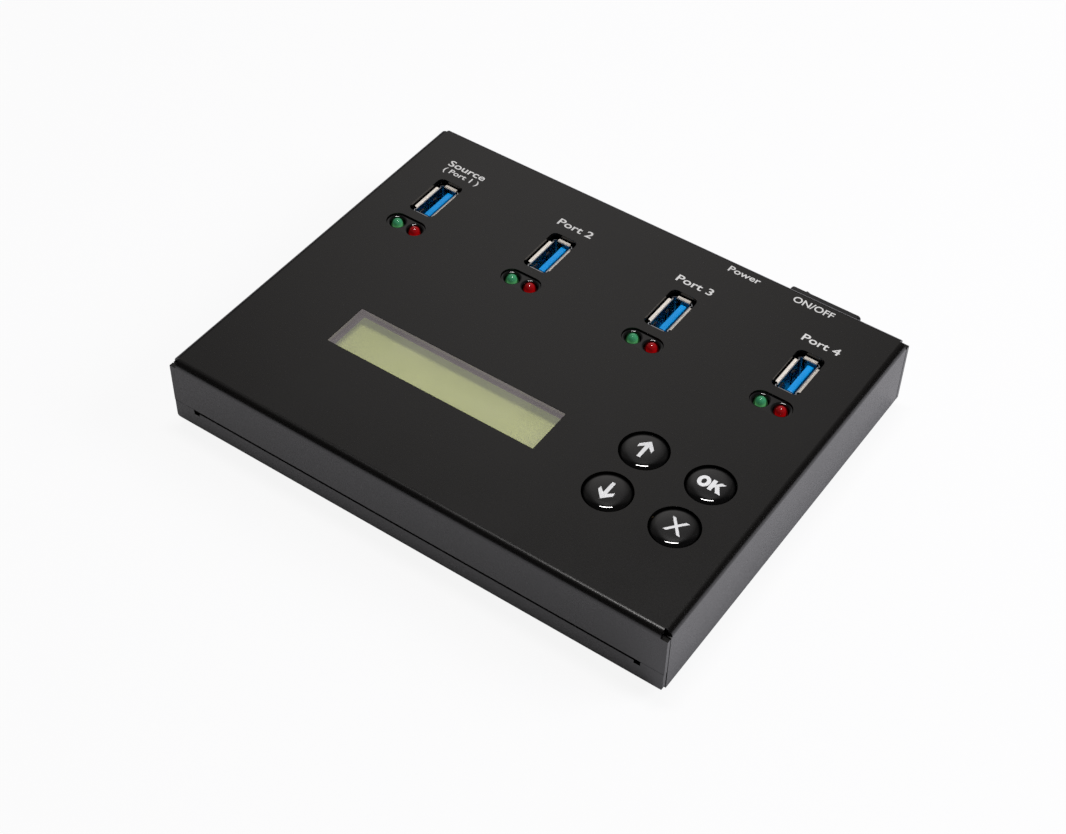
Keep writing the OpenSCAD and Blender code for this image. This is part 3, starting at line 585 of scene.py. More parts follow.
def paint_node(name, material):
    """Gives a node of the frame its finish."""
    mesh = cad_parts[name].data
    mesh.materials.clear()
    mesh.materials.append(material)


# Case


def side_place(side, distance):
    """Place of an upright face on one side: front, right, rear or left."""
    upright = Matrix.Rotation(QUARTER, 4, "X")
    return Matrix.Rotation(side * QUARTER, 4, "Z") @ Matrix.Translation((0, -distance, 0)) @ upright


def bend_strip(side, distance, run, radius, down=True):
    """Quarter bend along one side, from the flat sheet to the upright one."""
    shape = bmesh.new()
    verts = [shape.verts.new((x, -(distance - radius), 0)) for x in (-run / 2, run / 2)]
    edge = shape.edges.new(verts)
    centre = (0, -(distance - radius), -radius if down else radius)
    turn = QUARTER if down else -QUARTER
    bmesh.ops.spin(shape, geom=verts + [edge], cent=centre, axis=(1, 0, 0), angle=turn, steps=BEND_STEPS)
    put(shape, Matrix.Rotation(side * QUARTER, 4, "Z"))
    return shape


class COPIER_OT_cover(Operator):
    """Bends the cover from one sheet, with its openings"""

    bl_idname = "copier.cover"
    bl_label = "Cover"

    def execute(self, context):
        settings = context.scene.copier_case
        low, high, middle = node_box("top_cover")
        width, depth = high.x - low.x, high.y - low.y
        radius = settings.bend
        top = join(bmesh.new(), self.top_face(settings, width, depth))
        for side, (reach, run) in enumerate(((depth, width), (width, depth)) * 2):
            join(top, bend_strip(side, reach / 2, run - 2 * radius, radius))
            join(top, self.flange(side, settings, width, depth, low, high), side_place(side, reach / 2))
        bmesh.ops.remove_doubles(top, verts=top.verts, dist=MERGE)
        turn_out(top, 1)
        move(top, middle.x, middle.y, high.z)
        made = piece("cover_sheet", top, finish("paint"), replaces=["top_cover"])
        thicken(made, settings.sheet)
        soften(made, settings.edge, segments=3)
        return {"FINISHED"}

    def top_face(self, settings, width, depth):
        """Flat top with the window, key, port and lamp holes."""
        middle = node_box("top_cover")[2]
        display = bpy.context.scene.copier_display
        holes = []

        def cut(name, shape, gap=0.0):
            low, high, centre = node_box(name)
            made = shape(high.x - low.x + gap, high.y - low.y + gap)
            holes.append((made, at(centre.x - middle.x, centre.y - middle.y)))

        cut("display_pane", lambda wide, deep: rectangle(display.window_width, display.window_depth))
        for key in KEYS:
            cut(f"key_{key}", lambda wide, deep: circle(wide / 2, 64), 0.6 * MM)
        corner = settings.port_corner
        for port in PORTS:
            cut(f"usb_shell_{port}", lambda wide, deep: rectangle(wide, deep, corner), 0.8 * MM)
            cut(f"lamp_holder_{port}", lambda wide, deep: slot_shape(wide, deep, 12), 0.2 * MM)
        return filled(rectangle(width - 2 * settings.bend, depth - 2 * settings.bend), holes)

    def flange(self, side, settings, width, depth, low, high):
        """Upright face below a bend, as seen from its own side."""
        top, front_edge, corner_gap = -settings.bend, 9.5 * MM, 0.3 * MM
        bottom = (low.z if side else front_edge) - high.z
        if side in (0, 2):
            half, inner = width / 2, width / 2 - settings.bend
        else:
            half, inner = depth / 2 - settings.sheet - corner_gap, depth / 2 - settings.bend
        points = [(-half, bottom), (half, bottom), (half, top), (inner, top), (-inner, top), (-half, top)]
        holes = []
        if side == 2:
            middle = node_box("top_cover")[2]
            switch_hole, jack_hole = rectangle(19.2 * MM, 13 * MM), circle(4 * MM, 40)
            for name, hole in (("rocker_housing", switch_hole), ("dc_jack_contacts", jack_hole)):
                centre = node_box(name)[2]
                holes.append((hole, at(middle.x - centre.x, centre.z - high.z)))
        return filled(outline(points), holes)


class COPIER_OT_tray(Operator):
    """Bends the tray, with the front wall's tabs and notches"""

    bl_idname = "copier.tray"
    bl_label = "Tray"

    def execute(self, context):
        settings = context.scene.copier_case
        low, high, _ = node_box("bottom_tray")
        radius = settings.bend
        inner_width, wall_top = 147 * MM, 3.9 * MM
        screw_radius, screw_x, screw_y = 2.8 * MM, 67.6 * MM, 51.35 * MM
        floor_width = inner_width - 2 * radius
        floor_depth = high.y - low.y - 2 * radius
        centre_y = (low.y + high.y) / 2
        back = node_box("top_cover")[2].y - centre_y
        holes = [(circle(screw_radius, 32), at(x, y + back))
                 for x in (-screw_x, screw_x) for y in (-screw_y, screw_y)]
        tray = join(bmesh.new(), filled(rectangle(floor_width, floor_depth), holes))
        for side in (1, 2, 3):
            reach, run = (high.y - low.y, floor_width) if side == 2 else (inner_width, floor_depth)
            join(tray, bend_strip(side, reach / 2, run, radius, down=False))
            wall = filled(rectangle(run, wall_top - radius))
            join(tray, wall, side_place(side, reach / 2) @ at(0, (wall_top + radius) / 2))
        front = self.front_wall(high.x - low.x, floor_width, radius, high.z - low.z)
        join(tray, front, at(0, -(floor_depth / 2 + radius)))
        bmesh.ops.remove_doubles(tray, verts=tray.verts, dist=MERGE)
        turn_out(tray, -1)
        move(tray, 0, centre_y, low.z)
        made = piece("tray_sheet", tray, finish("paint"), replaces=["bottom_tray"])
        thicken(made, settings.sheet)
        soften(made, settings.edge)
        return {"FINISHED"}

    def front_wall(self, width, floor_width, radius, height):
        """Front wall with end tabs, relief notches and round lower corners, curved in below the bend."""
        tab, notch, notch_depth, vent, corner = 6.4 * MM, 1.8 * MM, 1.5 * MM, 0.6 * MM, 2.5 * MM
        half = width / 2
        right = [(half, height), (half - tab, height), (half - tab, height - notch_depth),
                 (half - tab - notch, height - notch_depth), (half - tab - notch, height - vent)]
        left = [(-x, y) for x, y in reversed(right)]
        lower_left = arc((-half + corner, corner), corner, 180, 270, 8)
        lower_right = arc((half - corner, corner), corner, 270, 360, 8)
        wall = filled(outline(lower_left + lower_right + right + left))
        put(wall, Matrix.Rotation(QUARTER, 4, "X"))
        for x in (-floor_width / 2, floor_width / 2):
            slice_at(wall, (x, 0, 0), (1, 0, 0))
        for step in range(1, BEND_STEPS + 1):
            slice_at(wall, (0, 0, radius * (1 - math.sin(QUARTER * (1 - step / BEND_STEPS)))), (0, 0, 1))
        for vert in wall.verts:
            if vert.co.z < radius:
                vert.co.y = radius - math.sqrt(max(0, radius ** 2 - (radius - vert.co.z) ** 2))
        return wall


class COPIER_OT_fasteners(Operator):
    """Finishes the feet, screws, standoffs and spacers"""

    bl_idname = "copier.fasteners"
    bl_label = "Feet and fasteners"

    def execute(self, context):
        low, high, _ = node_box("rubber_feet")
        radius, height, roll, hollow = 5 * MM, high.z - low.z, 0.45 * MM, 0.25 * MM
        profile = [(0, hollow), (radius * 0.45, hollow), (radius * 0.62, 0)]
        profile += arc((radius - roll, roll), roll, 270, 360, 5) + [(radius * 0.99, height), (0, height)]
        feet = bmesh.new()
        for x in (low.x + radius, high.x - radius):
            for y in (low.y + radius, high.y - radius):
                join(feet, lathe(profile, 48), at(x, y, low.z))
        piece("feet", feet, finish("rubber"), replaces=["rubber_feet"])
        for name in ("case_screws", "cover_standoffs"):
            paint_node(name, finish("zinc"))
        for name in ("board_spacers", "lcd_spacers", "switch_connector"):
            paint_node(name, finish("nylon"))
        return {"FINISHED"}


class COPIER_OT_boards(Operator):
    """Finishes the boards and what stands on them"""

    bl_idname = "copier.boards"
    bl_label = "Boards"

    def execute(self, context):
        finishes = {
            "main_board": "board", "lcd_board": "board", "controller_chip": "chip", "memory_chips": "chip",
            "chip_resistors": "chip", "crystal": "can", "capacitors": "can", "inductor": "ferrite",
            "lcd_header": "black_plastic", "tact_housings": "black_plastic", "rocker_terminals": "brass",
            "switch_leads": "lead",
        }
        for name, material in finishes.items():
            paint_node(name, finish(material))
        return {"FINISHED"}


# Display


class COPIER_OT_display(Operator):
    """Builds the pane, the display's frame and its glass"""

    bl_idname = "copier.display"
    bl_label = "Display"

    def execute(self, context):
        self.pane()
        self.bezel()
        low, high, middle = node_box("lcd_glass")
        glass = rounded_box(high - low, 0.15 * MM)
        move(glass, *middle)
        piece("display_glass", glass, finish("display_glass"), replaces=["lcd_glass"])
        paint_node("lcd_backlight", finish("light_guide"))
        return {"FINISHED"}

    def pane(self):
        """Clear pane: a plug that fills the window, on a wider rim under the sheet."""
        low, high, middle = node_box("display_pane")
        scene = bpy.context.scene
        sheet, settings = scene.copier_case.sheet, scene.copier_display
        clearance, sink = 0.05 * MM, 0.03 * MM
        rim = (high.x - low.x - settings.window_width) / 2 + clearance
        pane = solid(filled(rectangle(high.x - low.x, high.y - low.y)), high.z - low.z - sheet)
        top = [face for face in pane.faces if face.normal.z > 0.9]
        bmesh.ops.inset_region(pane, faces=top, thickness=rim, use_even_offset=True, use_boundary=True)
        raised = bmesh.ops.extrude_discrete_faces(pane, faces=top)["faces"]
        bmesh.ops.translate(pane, vec=(0, 0, sheet - sink), verts=raised[0].verts)
        for face in pane.faces:
            upright = abs(face.normal.z) < 0.5
            face.material_index = 0 if face in raised else 2 if upright else 1
        move(pane, middle.x, middle.y, low.z)
        finishes = [finish("pane"), finish("pane_side"), finish("bezel")]
        made = piece("window_pane", pane, finishes, replaces=["display_pane"])
        soften(made, 0.1 * MM)

    def bezel(self):
        """Pressed metal frame round the glass, open below."""
        low, high, middle = node_box("lcd_frame")
        settings = bpy.context.scene.copier_display
        width, depth, height = high.x - low.x, high.y - low.y, high.z - low.z
        opening = rectangle(settings.window_width + 2 * settings.reveal_ends,
                            settings.window_depth + 2 * settings.reveal_sides, 0.4 * MM)
        bezel = filled(rectangle(width, depth, 0.6 * MM), [(opening, at(0, 0))])
        rim = [edge for edge in bezel.edges if edge.is_boundary and
               max(abs(edge.verts[0].co.x) * 2 / width, abs(edge.verts[0].co.y) * 2 / depth) > 0.95]
        skirt = bmesh.ops.extrude_edge_only(bezel, edges=rim)["geom"]
        bmesh.ops.translate(bezel, vec=(0, 0, -height), verts=points_of(skirt))
        turn_out(bezel, 1)
        move(bezel, middle.x, middle.y, high.z)
        made = piece("display_bezel", bezel, finish("bezel"), replaces=["lcd_frame"])
        thicken(made, 0.5 * MM)
        soften(made, 0.12 * MM)


# Keys


class COPIER_OT_keys(Operator):
    """Turns the four key caps and prints their marks"""

    bl_idname = "copier.keys"
    bl_label = "Keys"

    def execute(self, context):
        settings = context.scene.copier_keys
        for key in KEYS:
            self.cap(key, settings)
            paint_node(f"plunger_{key}", finish("plunger"))
            self.mark(key)
        return {"FINISHED"}

    def cap(self, key, settings):
        """Cap with a full dome that rolls down into its side, and a hollow underside."""
        low, high, middle = node_box(f"key_{key}")
        radius, dome, wall = (high.x - low.x) / 2, settings.dome, 1.2 * MM
        top = high.z - low.z - MARK_PROUD
        skirt_depth, plunger, chamfer = 5.2 * MM, 3.4 * MM, 0.15 * MM
        skirt = node_box("top_cover")[1].z - low.z - skirt_depth
        power = settings.fullness
        profile = []
        for step in range(DOME_STEPS + 1):
            along = math.sin(QUARTER * step / DOME_STEPS)
            profile.append((radius * along, top - dome + dome * max(0, 1 - along ** power) ** (1 / power)))
        inner = radius - wall
        profile += [(radius, skirt + chamfer), (radius - chamfer, skirt), (inner, skirt),
                    (inner, top - wall - 0.4 * MM), (plunger, top - wall - 0.1 * MM), (plunger, 0), (0, 0)]
        cap = lathe(profile, 128)
        move(cap, middle.x, middle.y, low.z)
        piece(f"cap_{key}", cap, finish("key_gloss"), body=f"key_{key}_body", replaces=[f"key_{key}"],
              crease=50)

    def mark(self, key):
        """White mark, printed on the cap's top."""
        _, high, middle = node_box(f"key_{key}")
        if key == "ok":
            inside = outline(self.ellipse(0.62 * MM, 0.86 * MM))
            shape = filled(outline(self.ellipse(1.66 * MM, 1.85 * MM)), [(inside, at(0, 0))])
            move(shape, -1.78 * MM, -0.2 * MM)
            join(shape, filled(outline([(x * MM, y * MM) for x, y in LETTER_K])))
        elif key == "cancel":
            shape = filled(outline(self.cross(2.4 * MM, 2.32 * MM, 0.95 * MM)))
            move(shape, 0.35 * MM, 0.03 * MM)
        else:
            shape = filled(outline([(x * MM, y * MM) for x, y in ARROW]))
            if key == "down":
                put(shape, at(0, 0, 0, 180))
        for normal in ((1, 0, 0), (0, 1, 0)):
            for step in range(-5, 6):
                slice_at(shape, Vector(normal) * step * MARK_STEP, normal, MERGE)
        shape = solid(shape, MARK_DEPTH + MARK_PROUD)
        move(shape, middle.x, middle.y, high.z - MARK_DEPTH - MARK_PROUD)
        self.drape(shape, key)
        piece(f"mark_{key}", shape, finish("key_ink"), body=f"key_{key}_body")

    def drape(self, shape, key):
        """Lowers a mark's points to follow the dome."""
        low, high, middle = node_box(f"key_{key}")
        settings = bpy.context.scene.copier_keys
        radius, dome, power = (high.x - low.x) / 2, settings.dome, settings.fullness
        for vert in shape.verts:
            along = math.hypot(vert.co.x - middle.x, vert.co.y - middle.y) / radius
            vert.co.z -= dome * (1 - (1 - along ** power) ** (1 / power))

    def ellipse(self, half_width, half_depth, steps=40):
        """Points round an ellipse."""
        turns = [2 * math.pi * step / steps for step in range(steps)]
        return [(half_width * math.cos(turn), half_depth * math.sin(turn)) for turn in turns]

    def cross(self, half, tall, arm):
        """Points round a cross with level ends: half width, half height and the arms' level width."""
        slope = 2 * tall / (2 * half - arm)
        notch = tall - (half - arm) * slope
        waist = half - tall / slope
        inside = half - arm
        upper = [(waist, 0), (half, tall), (inside, tall), (0, notch), (-inside, tall), (-half, tall)]
        return upper + [(-x, -y) for x, y in upper]


# Ports


class COPIER_OT_ports(Operator):
    """Builds the USB sockets"""

    bl_idname = "copier.ports"
    bl_label = "Ports"

    def execute(self, context):
        settings = context.scene.copier_ports
        for port in PORTS:
            self.shell(port, settings)
            self.tongue(port)
            paint_node(f"usb_contacts_{port}", finish("gold"))
        return {"FINISHED"}

    def shell(self, port, settings):
        """Plated tube with four lips turned flat outwards and two spring fingers."""
        low, high, middle = node_box(f"usb_shell_{port}")
        lip, corner, plate = settings.lip, settings.corner, settings.plate
        width, depth = high.x - low.x - 2 * lip, high.y - low.y - 2 * lip
        rim = high.z - low.z
        turn = 0.15 * MM
        tall = rim - plate - turn
        finger_run, finger_height, finger_side, finger_gap = 1.8 * MM, 4.5 * MM, 3.1 * MM, 0.6 * MM
        finger_foot = rim - 2.8 * MM - finger_height
        end_share, side_share = 3.8 / 5.7, 10.1 / 13.1
        shape = bmesh.new()
        for side, (reach, run) in enumerate(((depth, width), (width, depth)) * 2):
            slots = []
            if side == 3:
                for across in (-finger_side, finger_side):
                    slot = rectangle(finger_run + finger_gap, finger_height)
                    slots.append((slot, at(across, finger_foot + finger_height / 2 - tall / 2)))
            wall = filled(rectangle(run - 2 * corner, tall), slots)
            join(shape, wall, side_place(side, reach / 2) @ at(0, tall / 2))
            turned = at(0, 0, 0, 90 * side)
            lip_run = run * (side_share if side % 2 else end_share)
            join(shape, self.lip(lip_run, reach / 2, lip, tall, turn), turned)
            round_corner = self.corner(corner, tall + 0.1 * MM)
            join(shape, round_corner, turned @ at(run / 2 - corner, corner - reach / 2))
        for across in (-finger_side, finger_side):
            join(shape, self.finger(finger_run, finger_height),
                 side_place(3, width / 2) @ at(across, finger_foot))
        for face in shape.faces:
            face.material_index = int(face.calc_center_median().z > tall - 0.3 * MM)
        move(shape, middle.x, middle.y, low.z)
        made = piece(f"port_shell_{port}", shape, [finish("nickel"), finish("tin")],
                     replaces=[f"usb_shell_{port}"])
        thicken(made, plate)
        soften(made, 0.06 * MM)

    def corner(self, radius, height):
        """Rounded corner of the tube, from its front wall to its right one."""
        shape = bmesh.new()
        verts = [shape.verts.new((0, -radius, z)) for z in (0, height)]
        edge = shape.edges.new(verts)
        bmesh.ops.spin(shape, geom=verts + [edge], cent=(0, 0, 0), axis=(0, 0, 1), angle=QUARTER, steps=6)
        return shape

    def finger(self, run, height):
        """Spring finger, bowed into the mouth from its foot."""
        shape = bmesh.new()
        bmesh.ops.create_grid(shape, x_segments=1, y_segments=8, size=0.5)
        scale(shape, run, height)
        move(shape, 0, height / 2)
        bow = 0.55 * MM
        for vert in shape.verts:
            vert.co.z = -bow * math.sin(vert.co.y / height * math.pi * 0.8)
        return shape

    def lip(self, run, reach, out, height, turn):
        """One lip that turns flat outwards from the mouth, on the front side."""
        shape = bmesh.new()
        verts = [shape.verts.new((x, -reach, height)) for x in (-run / 2, run / 2)]
        edge = shape.edges.new(verts)
        centre = (0, -reach - turn, height)
        turned = bmesh.ops.spin(shape, geom=verts + [edge], cent=centre, axis=(1, 0, 0), angle=-QUARTER,
                                steps=4)
        last = [item for item in turned["geom_last"] if isinstance(item, bmesh.types.BMEdge)]
        ends = points_of(bmesh.ops.extrude_edge_only(shape, edges=last)["geom"])
        bmesh.ops.translate(shape, vec=(0, turn - out, 0), verts=ends)
        bevel(shape, ends, 0.25 * MM, 3, "VERTICES")
        return shape

    def tongue(self, port):
        """Blue tongue on its foot, with a chamfered tip."""
        low, high, middle = node_box(f"usb_tongue_{port}")
        contacts = node_box(f"usb_contacts_{port}")[1].x
        foot_height, thickness, width = 4 * MM, 1.8 * MM, 11 * MM
        shape = rounded_box((high.x - low.x, high.y - low.y, foot_height), 0.1 * MM)
        move(shape, middle.x, middle.y, low.z + foot_height / 2)
        blade = rounded_box((thickness, width, high.z - low.z), 0.22 * MM, 3)
        join(shape, blade, at(contacts + thickness / 2, middle.y, middle.z))
        piece(f"port_tongue_{port}", shape, finish("blue"), replaces=[f"usb_tongue_{port}"])


# Lamps


class COPIER_OT_lamps(Operator):
    """Builds the lamps and their two-well holders"""

    bl_idname = "copier.lamps"
    bl_label = "Lamps"

    def execute(self, context):
        for port in PORTS:
            self.holder(port)
            for tint in ("green", "red"):
                self.lamp(port, tint)
        return {"FINISHED"}

    def holder(self, port):
        """Black holder with a round well for each lamp."""
        low, high, middle = node_box(f"lamp_holder_{port}")
        width, depth, height = high.x - low.x, high.y - low.y, high.z - low.z
        centres = [-(width - depth) / 2, (width - depth) / 2]
        wells = [(circle(WELL_RADIUS, 40), at(x, 0)) for x in centres]
        shape = solid(filled(slot_shape(width, depth, 16), wells), height)
        dish, dish_radius, hole_radius = 0.28 * MM, 2.76 * MM, 2.1 * MM
        slice_at(shape, (0, 0, height - dish), (0, 0, 1))
        seat = node_box(f"lamp_green_{port}")[1].z - LAMP_HEIGHT - low.z
        for x in centres:
            for level, reach in ((height, dish_radius), (height - dish, hole_radius)):
                ring = [vert for vert in shape.verts if abs(vert.co.z - level) < MERGE
                        and abs((vert.co.xy - Vector((x, 0))).length - WELL_RADIUS) < 10 * MERGE]
                wider = reach / WELL_RADIUS
                bmesh.ops.scale(shape, vec=(wider, wider, 1), space=at(-x, 0), verts=ring)
        for x in centres:
            floor = circle(WELL_RADIUS, 40)
            bmesh.ops.contextual_create(floor, geom=floor.edges[:])
            join(shape, floor, at(x, 0, seat))
        move(shape, middle.x, middle.y, low.z)
        made = piece(f"lamp_well_{port}", shape, finish("lamp_black"), replaces=[f"lamp_holder_{port}"])
        soften(made, 0.12 * MM)

    def lamp(self, port, tint):
        """Lens with a rim and a domed tip, and the two leads under it."""
        name = f"lamp_{tint}_{port}"
        low, high, middle = node_box(name)
        radius, rim, chamfer, lead_side, power, steps = 1.37 * MM, 1.9 * MM, 0.1 * MM, 0.5 * MM, 0.94, 24
        base = high.z - LAMP_HEIGHT
        dome = LAMP_HEIGHT + LAMP_PROUD - radius
        profile = [(0, 0), (rim, 0), (rim, MM - chamfer), (rim - chamfer, MM), (radius, MM)]
        for turn in (QUARTER * step / steps for step in range(steps + 1)):
            profile.append((radius * math.cos(turn) ** power, dome + radius * math.sin(turn) ** power))
        shape = lathe(profile, 64)
        move(shape, middle.x, middle.y, base)
        for side in (-HALF_PITCH, HALF_PITCH):
            lead = rounded_box((lead_side, lead_side, base - low.z), 0.05 * MM, 1)
            for face in lead.faces:
                face.material_index = 1
            join(shape, lead, at(middle.x + side, middle.y, (base + low.z) / 2))
        piece(f"lens_{tint}_{port}", shape, [finish(f"lens_{tint}"), finish("zinc")], replaces=[name])


# Switch and inlet


class COPIER_OT_switch(Operator):
    """Builds the rocker switch: its bezel, body and marked paddle"""

    bl_idname = "copier.switch"
    bl_label = "Power switch"

    def execute(self, context):
        settings = context.scene.copier_switch
        low, high, middle = node_box("rocker_housing")
        pivot = Vector((middle.x, high.y - settings.pivot_sink, middle.z))
        self.housing(settings, low, high, middle)
        self.paddle(settings, pivot)
        return {"FINISHED"}

    def housing(self, settings, low, high, middle):
        """Bezel with a rounded rim, and the hollow body behind it."""
        width, tall = high.x - low.x, high.z - low.z
        bezel, body_width, body_height, wall = settings.bezel, 19 * MM, 12.8 * MM, MM
        hole_width, hole_height = 17 * MM, 10.2 * MM

        def sleeve(outer, thickness):
            return solid(filled(outer, [(rectangle(hole_width, hole_height), at(0, 0))]), thickness)

        ring = sleeve(rectangle(width, tall, MM), bezel)
        rim = [edge for edge in ring.edges if all(vert.co.z > bezel / 2 for vert in edge.verts)
               and len(edge.link_faces) == 2 and edge.calc_face_angle() > 1]
        bevel(ring, rim, 0.45 * MM, 4)
        shape = join(bmesh.new(), ring, at(0, 0, -bezel))
        depth = high.y - low.y - bezel
        tube = sleeve(rectangle(body_width, body_height), depth - wall)
        join(shape, tube, at(0, 0, wall - bezel - depth))
        join(shape, solid(filled(rectangle(body_width, body_height)), wall), at(0, 0, -bezel - depth))
        put(shape, at(middle.x, high.y, middle.z) @ side_place(2, 0))
        made = piece("switch_body", shape, finish("switch_black"), replaces=["rocker_housing"])
        soften(made, 0.12 * MM)

    def paddle(self, settings, pivot):
        """Paddle with two faces that meet at its middle, and a mark on each."""
        radius, end, lowest, fall = settings.paddle_radius, 20.5, -8.3, 10
        keel_half, keel_depth = 2.5 * MM, -4.5 * MM
        crest = radius * math.sin(math.radians(end))
        dip = radius * math.sin(math.radians(end - fall)) / math.cos(math.radians(fall))
        right = arc((0, 0), radius, end, lowest, 8)
        left = [(-x, y) for x, y in reversed(right)]
        points = [(0, dip)] + right + [(keel_half, keel_depth), (-keel_half, keel_depth)] + left
        shape = solid(filled(outline(points)), settings.paddle_width)
        move(shape, 0, 0, -settings.paddle_width / 2)
        axle = bmesh.new()
        bmesh.ops.create_cone(axle, cap_ends=True, segments=24, radius1=MM, radius2=MM, depth=11.8 * MM)
        join(shape, axle)
        placed = at(*pivot, -settings.tilt)
        put(shape, placed)
        made = piece("switch_paddle", shape, finish("switch_black"), body="paddle",
                     replaces=["rocker_paddle"])
        soften(made, 0.35 * MM, 3)
        slope = math.degrees(math.atan2(crest - dip, radius * math.cos(math.radians(end))))
        ink, along, stroke, tall = 0.05 * MM, 4.3 * MM, 0.4 * MM, 3.4 * MM
        inside = circle(tall / 2 - stroke, 40)
        bar = solid(filled(rectangle(0.45 * MM, tall)), ink)
        ring = solid(filled(circle(tall / 2, 40), [(inside, at(0, 0))]), ink)
        marks = bmesh.new()
        for mark, side in ((bar, 1), (ring, -1)):
            face = side_place(2, 0) @ Matrix.Rotation(math.radians(-side * slope), 4, "Y")
            middle = Matrix.Translation((-side * along, dip + along * math.tan(math.radians(slope)), 0))
            join(marks, mark, placed @ middle @ face)
        piece("switch_marks", marks, finish("key_ink"), body="paddle")


class COPIER_OT_inlet(Operator):
    """Builds the power inlet behind its hole"""

    bl_idname = "copier.inlet"
    bl_label = "Power inlet"

    def execute(self, context):
        low, high, middle = node_box("dc_jack_body")
        width, depth, tall = high.x - low.x, high.y - low.y, high.z - low.z
        mouth, reach, corner = 3.15 * MM, 9.5 * MM, 0.3 * MM
        hole_up = node_box("dc_jack_contacts")[2].z - middle.z
        hole = circle(mouth, 48), at(0, hole_up)
        front = solid(filled(rectangle(width, tall, corner), [hole]), reach)
        shape = join(bmesh.new(), front, at(0, 0, -reach))
        join(shape, solid(filled(rectangle(width, tall, corner)), depth - reach), at(0, 0, -depth))
        put(shape, at(middle.x, high.y, middle.z) @ side_place(2, 0))
        made = piece("inlet_body", shape, finish("black_plastic"), replaces=["dc_jack_body"])
        soften(made, 0.15 * MM)
        paint_node("dc_jack_contacts", finish("zinc"))
        return {"FINISHED"}


# Print


def lettering(words, width, height):
    """Flat letters centred on the origin, with their width and the height of their capitals."""
    curve = bpy.data.curves.new("letters", "FONT")
    curve.body = words
    curve.align_y = "BOTTOM_BASELINE"
    curve.size = 1
    curve.offset = LETTER_BOLD
    curve.resolution_u = 4
    holder = bpy.data.objects.new("letters", curve)
    bpy.context.scene.collection.objects.link(holder)
    mesh = bpy.data.meshes.new_from_object(holder.evaluated_get(bpy.context.evaluated_depsgraph_get()))
    bpy.data.objects.remove(holder)
    bpy.data.curves.remove(curve)
    shape = bmesh.new()
    shape.from_mesh(mesh)
    bpy.data.meshes.remove(mesh)
    bmesh.ops.remove_doubles(shape, verts=shape.verts, dist=LETTER_MERGE)
    xs = [vert.co.x for vert in shape.verts]
    left, right = min(xs), max(xs)
    move(shape, -(left + right) / 2, -LETTER_CAPITAL / 2)
    scale(shape, width / (right - left), height / LETTER_CAPITAL)
    return shape


class COPIER_OT_print(Operator):
    """Prints the words on the cover"""

    bl_idname = "copier.print"
    bl_label = "Print"

    def execute(self, context):
        settings = context.scene.copier_print
        _, high, middle = node_box("top_cover")
        # Words, place, height of the capitals and width, in millimetres
        labels = {
            "source": ("Source", -57.8, 46.2, 2.5, 12.2),
            "port_1": ("( Port 1 )", -57.8, 43.2, 1.9, 11.7),
            "port_2": ("Port 2", -19.5, 43.9, 2.6, 11.0),
            "port_3": ("Port 3", 18.8, 43.8, 2.6, 11.0),
            "port_4": ("Port 4", 57.1, 43.8, 2.6, 10.9),
            "power": ("Power", 27.5, 55.0, 2.25, 9.7),
            "switch": ("ON/OFF", 48.6, 54.9, 2.3, 12.0),
        }
        for name, (words, x, y, height, width) in labels.items():
            shape = solid(lettering(words, width * MM, height * MM), settings.height)
            move(shape, x * MM, y * MM + middle.y, high.z)
            piece(f"print_{name}", shape, finish("print_ink"))
        return {"FINISHED"}


# Studio


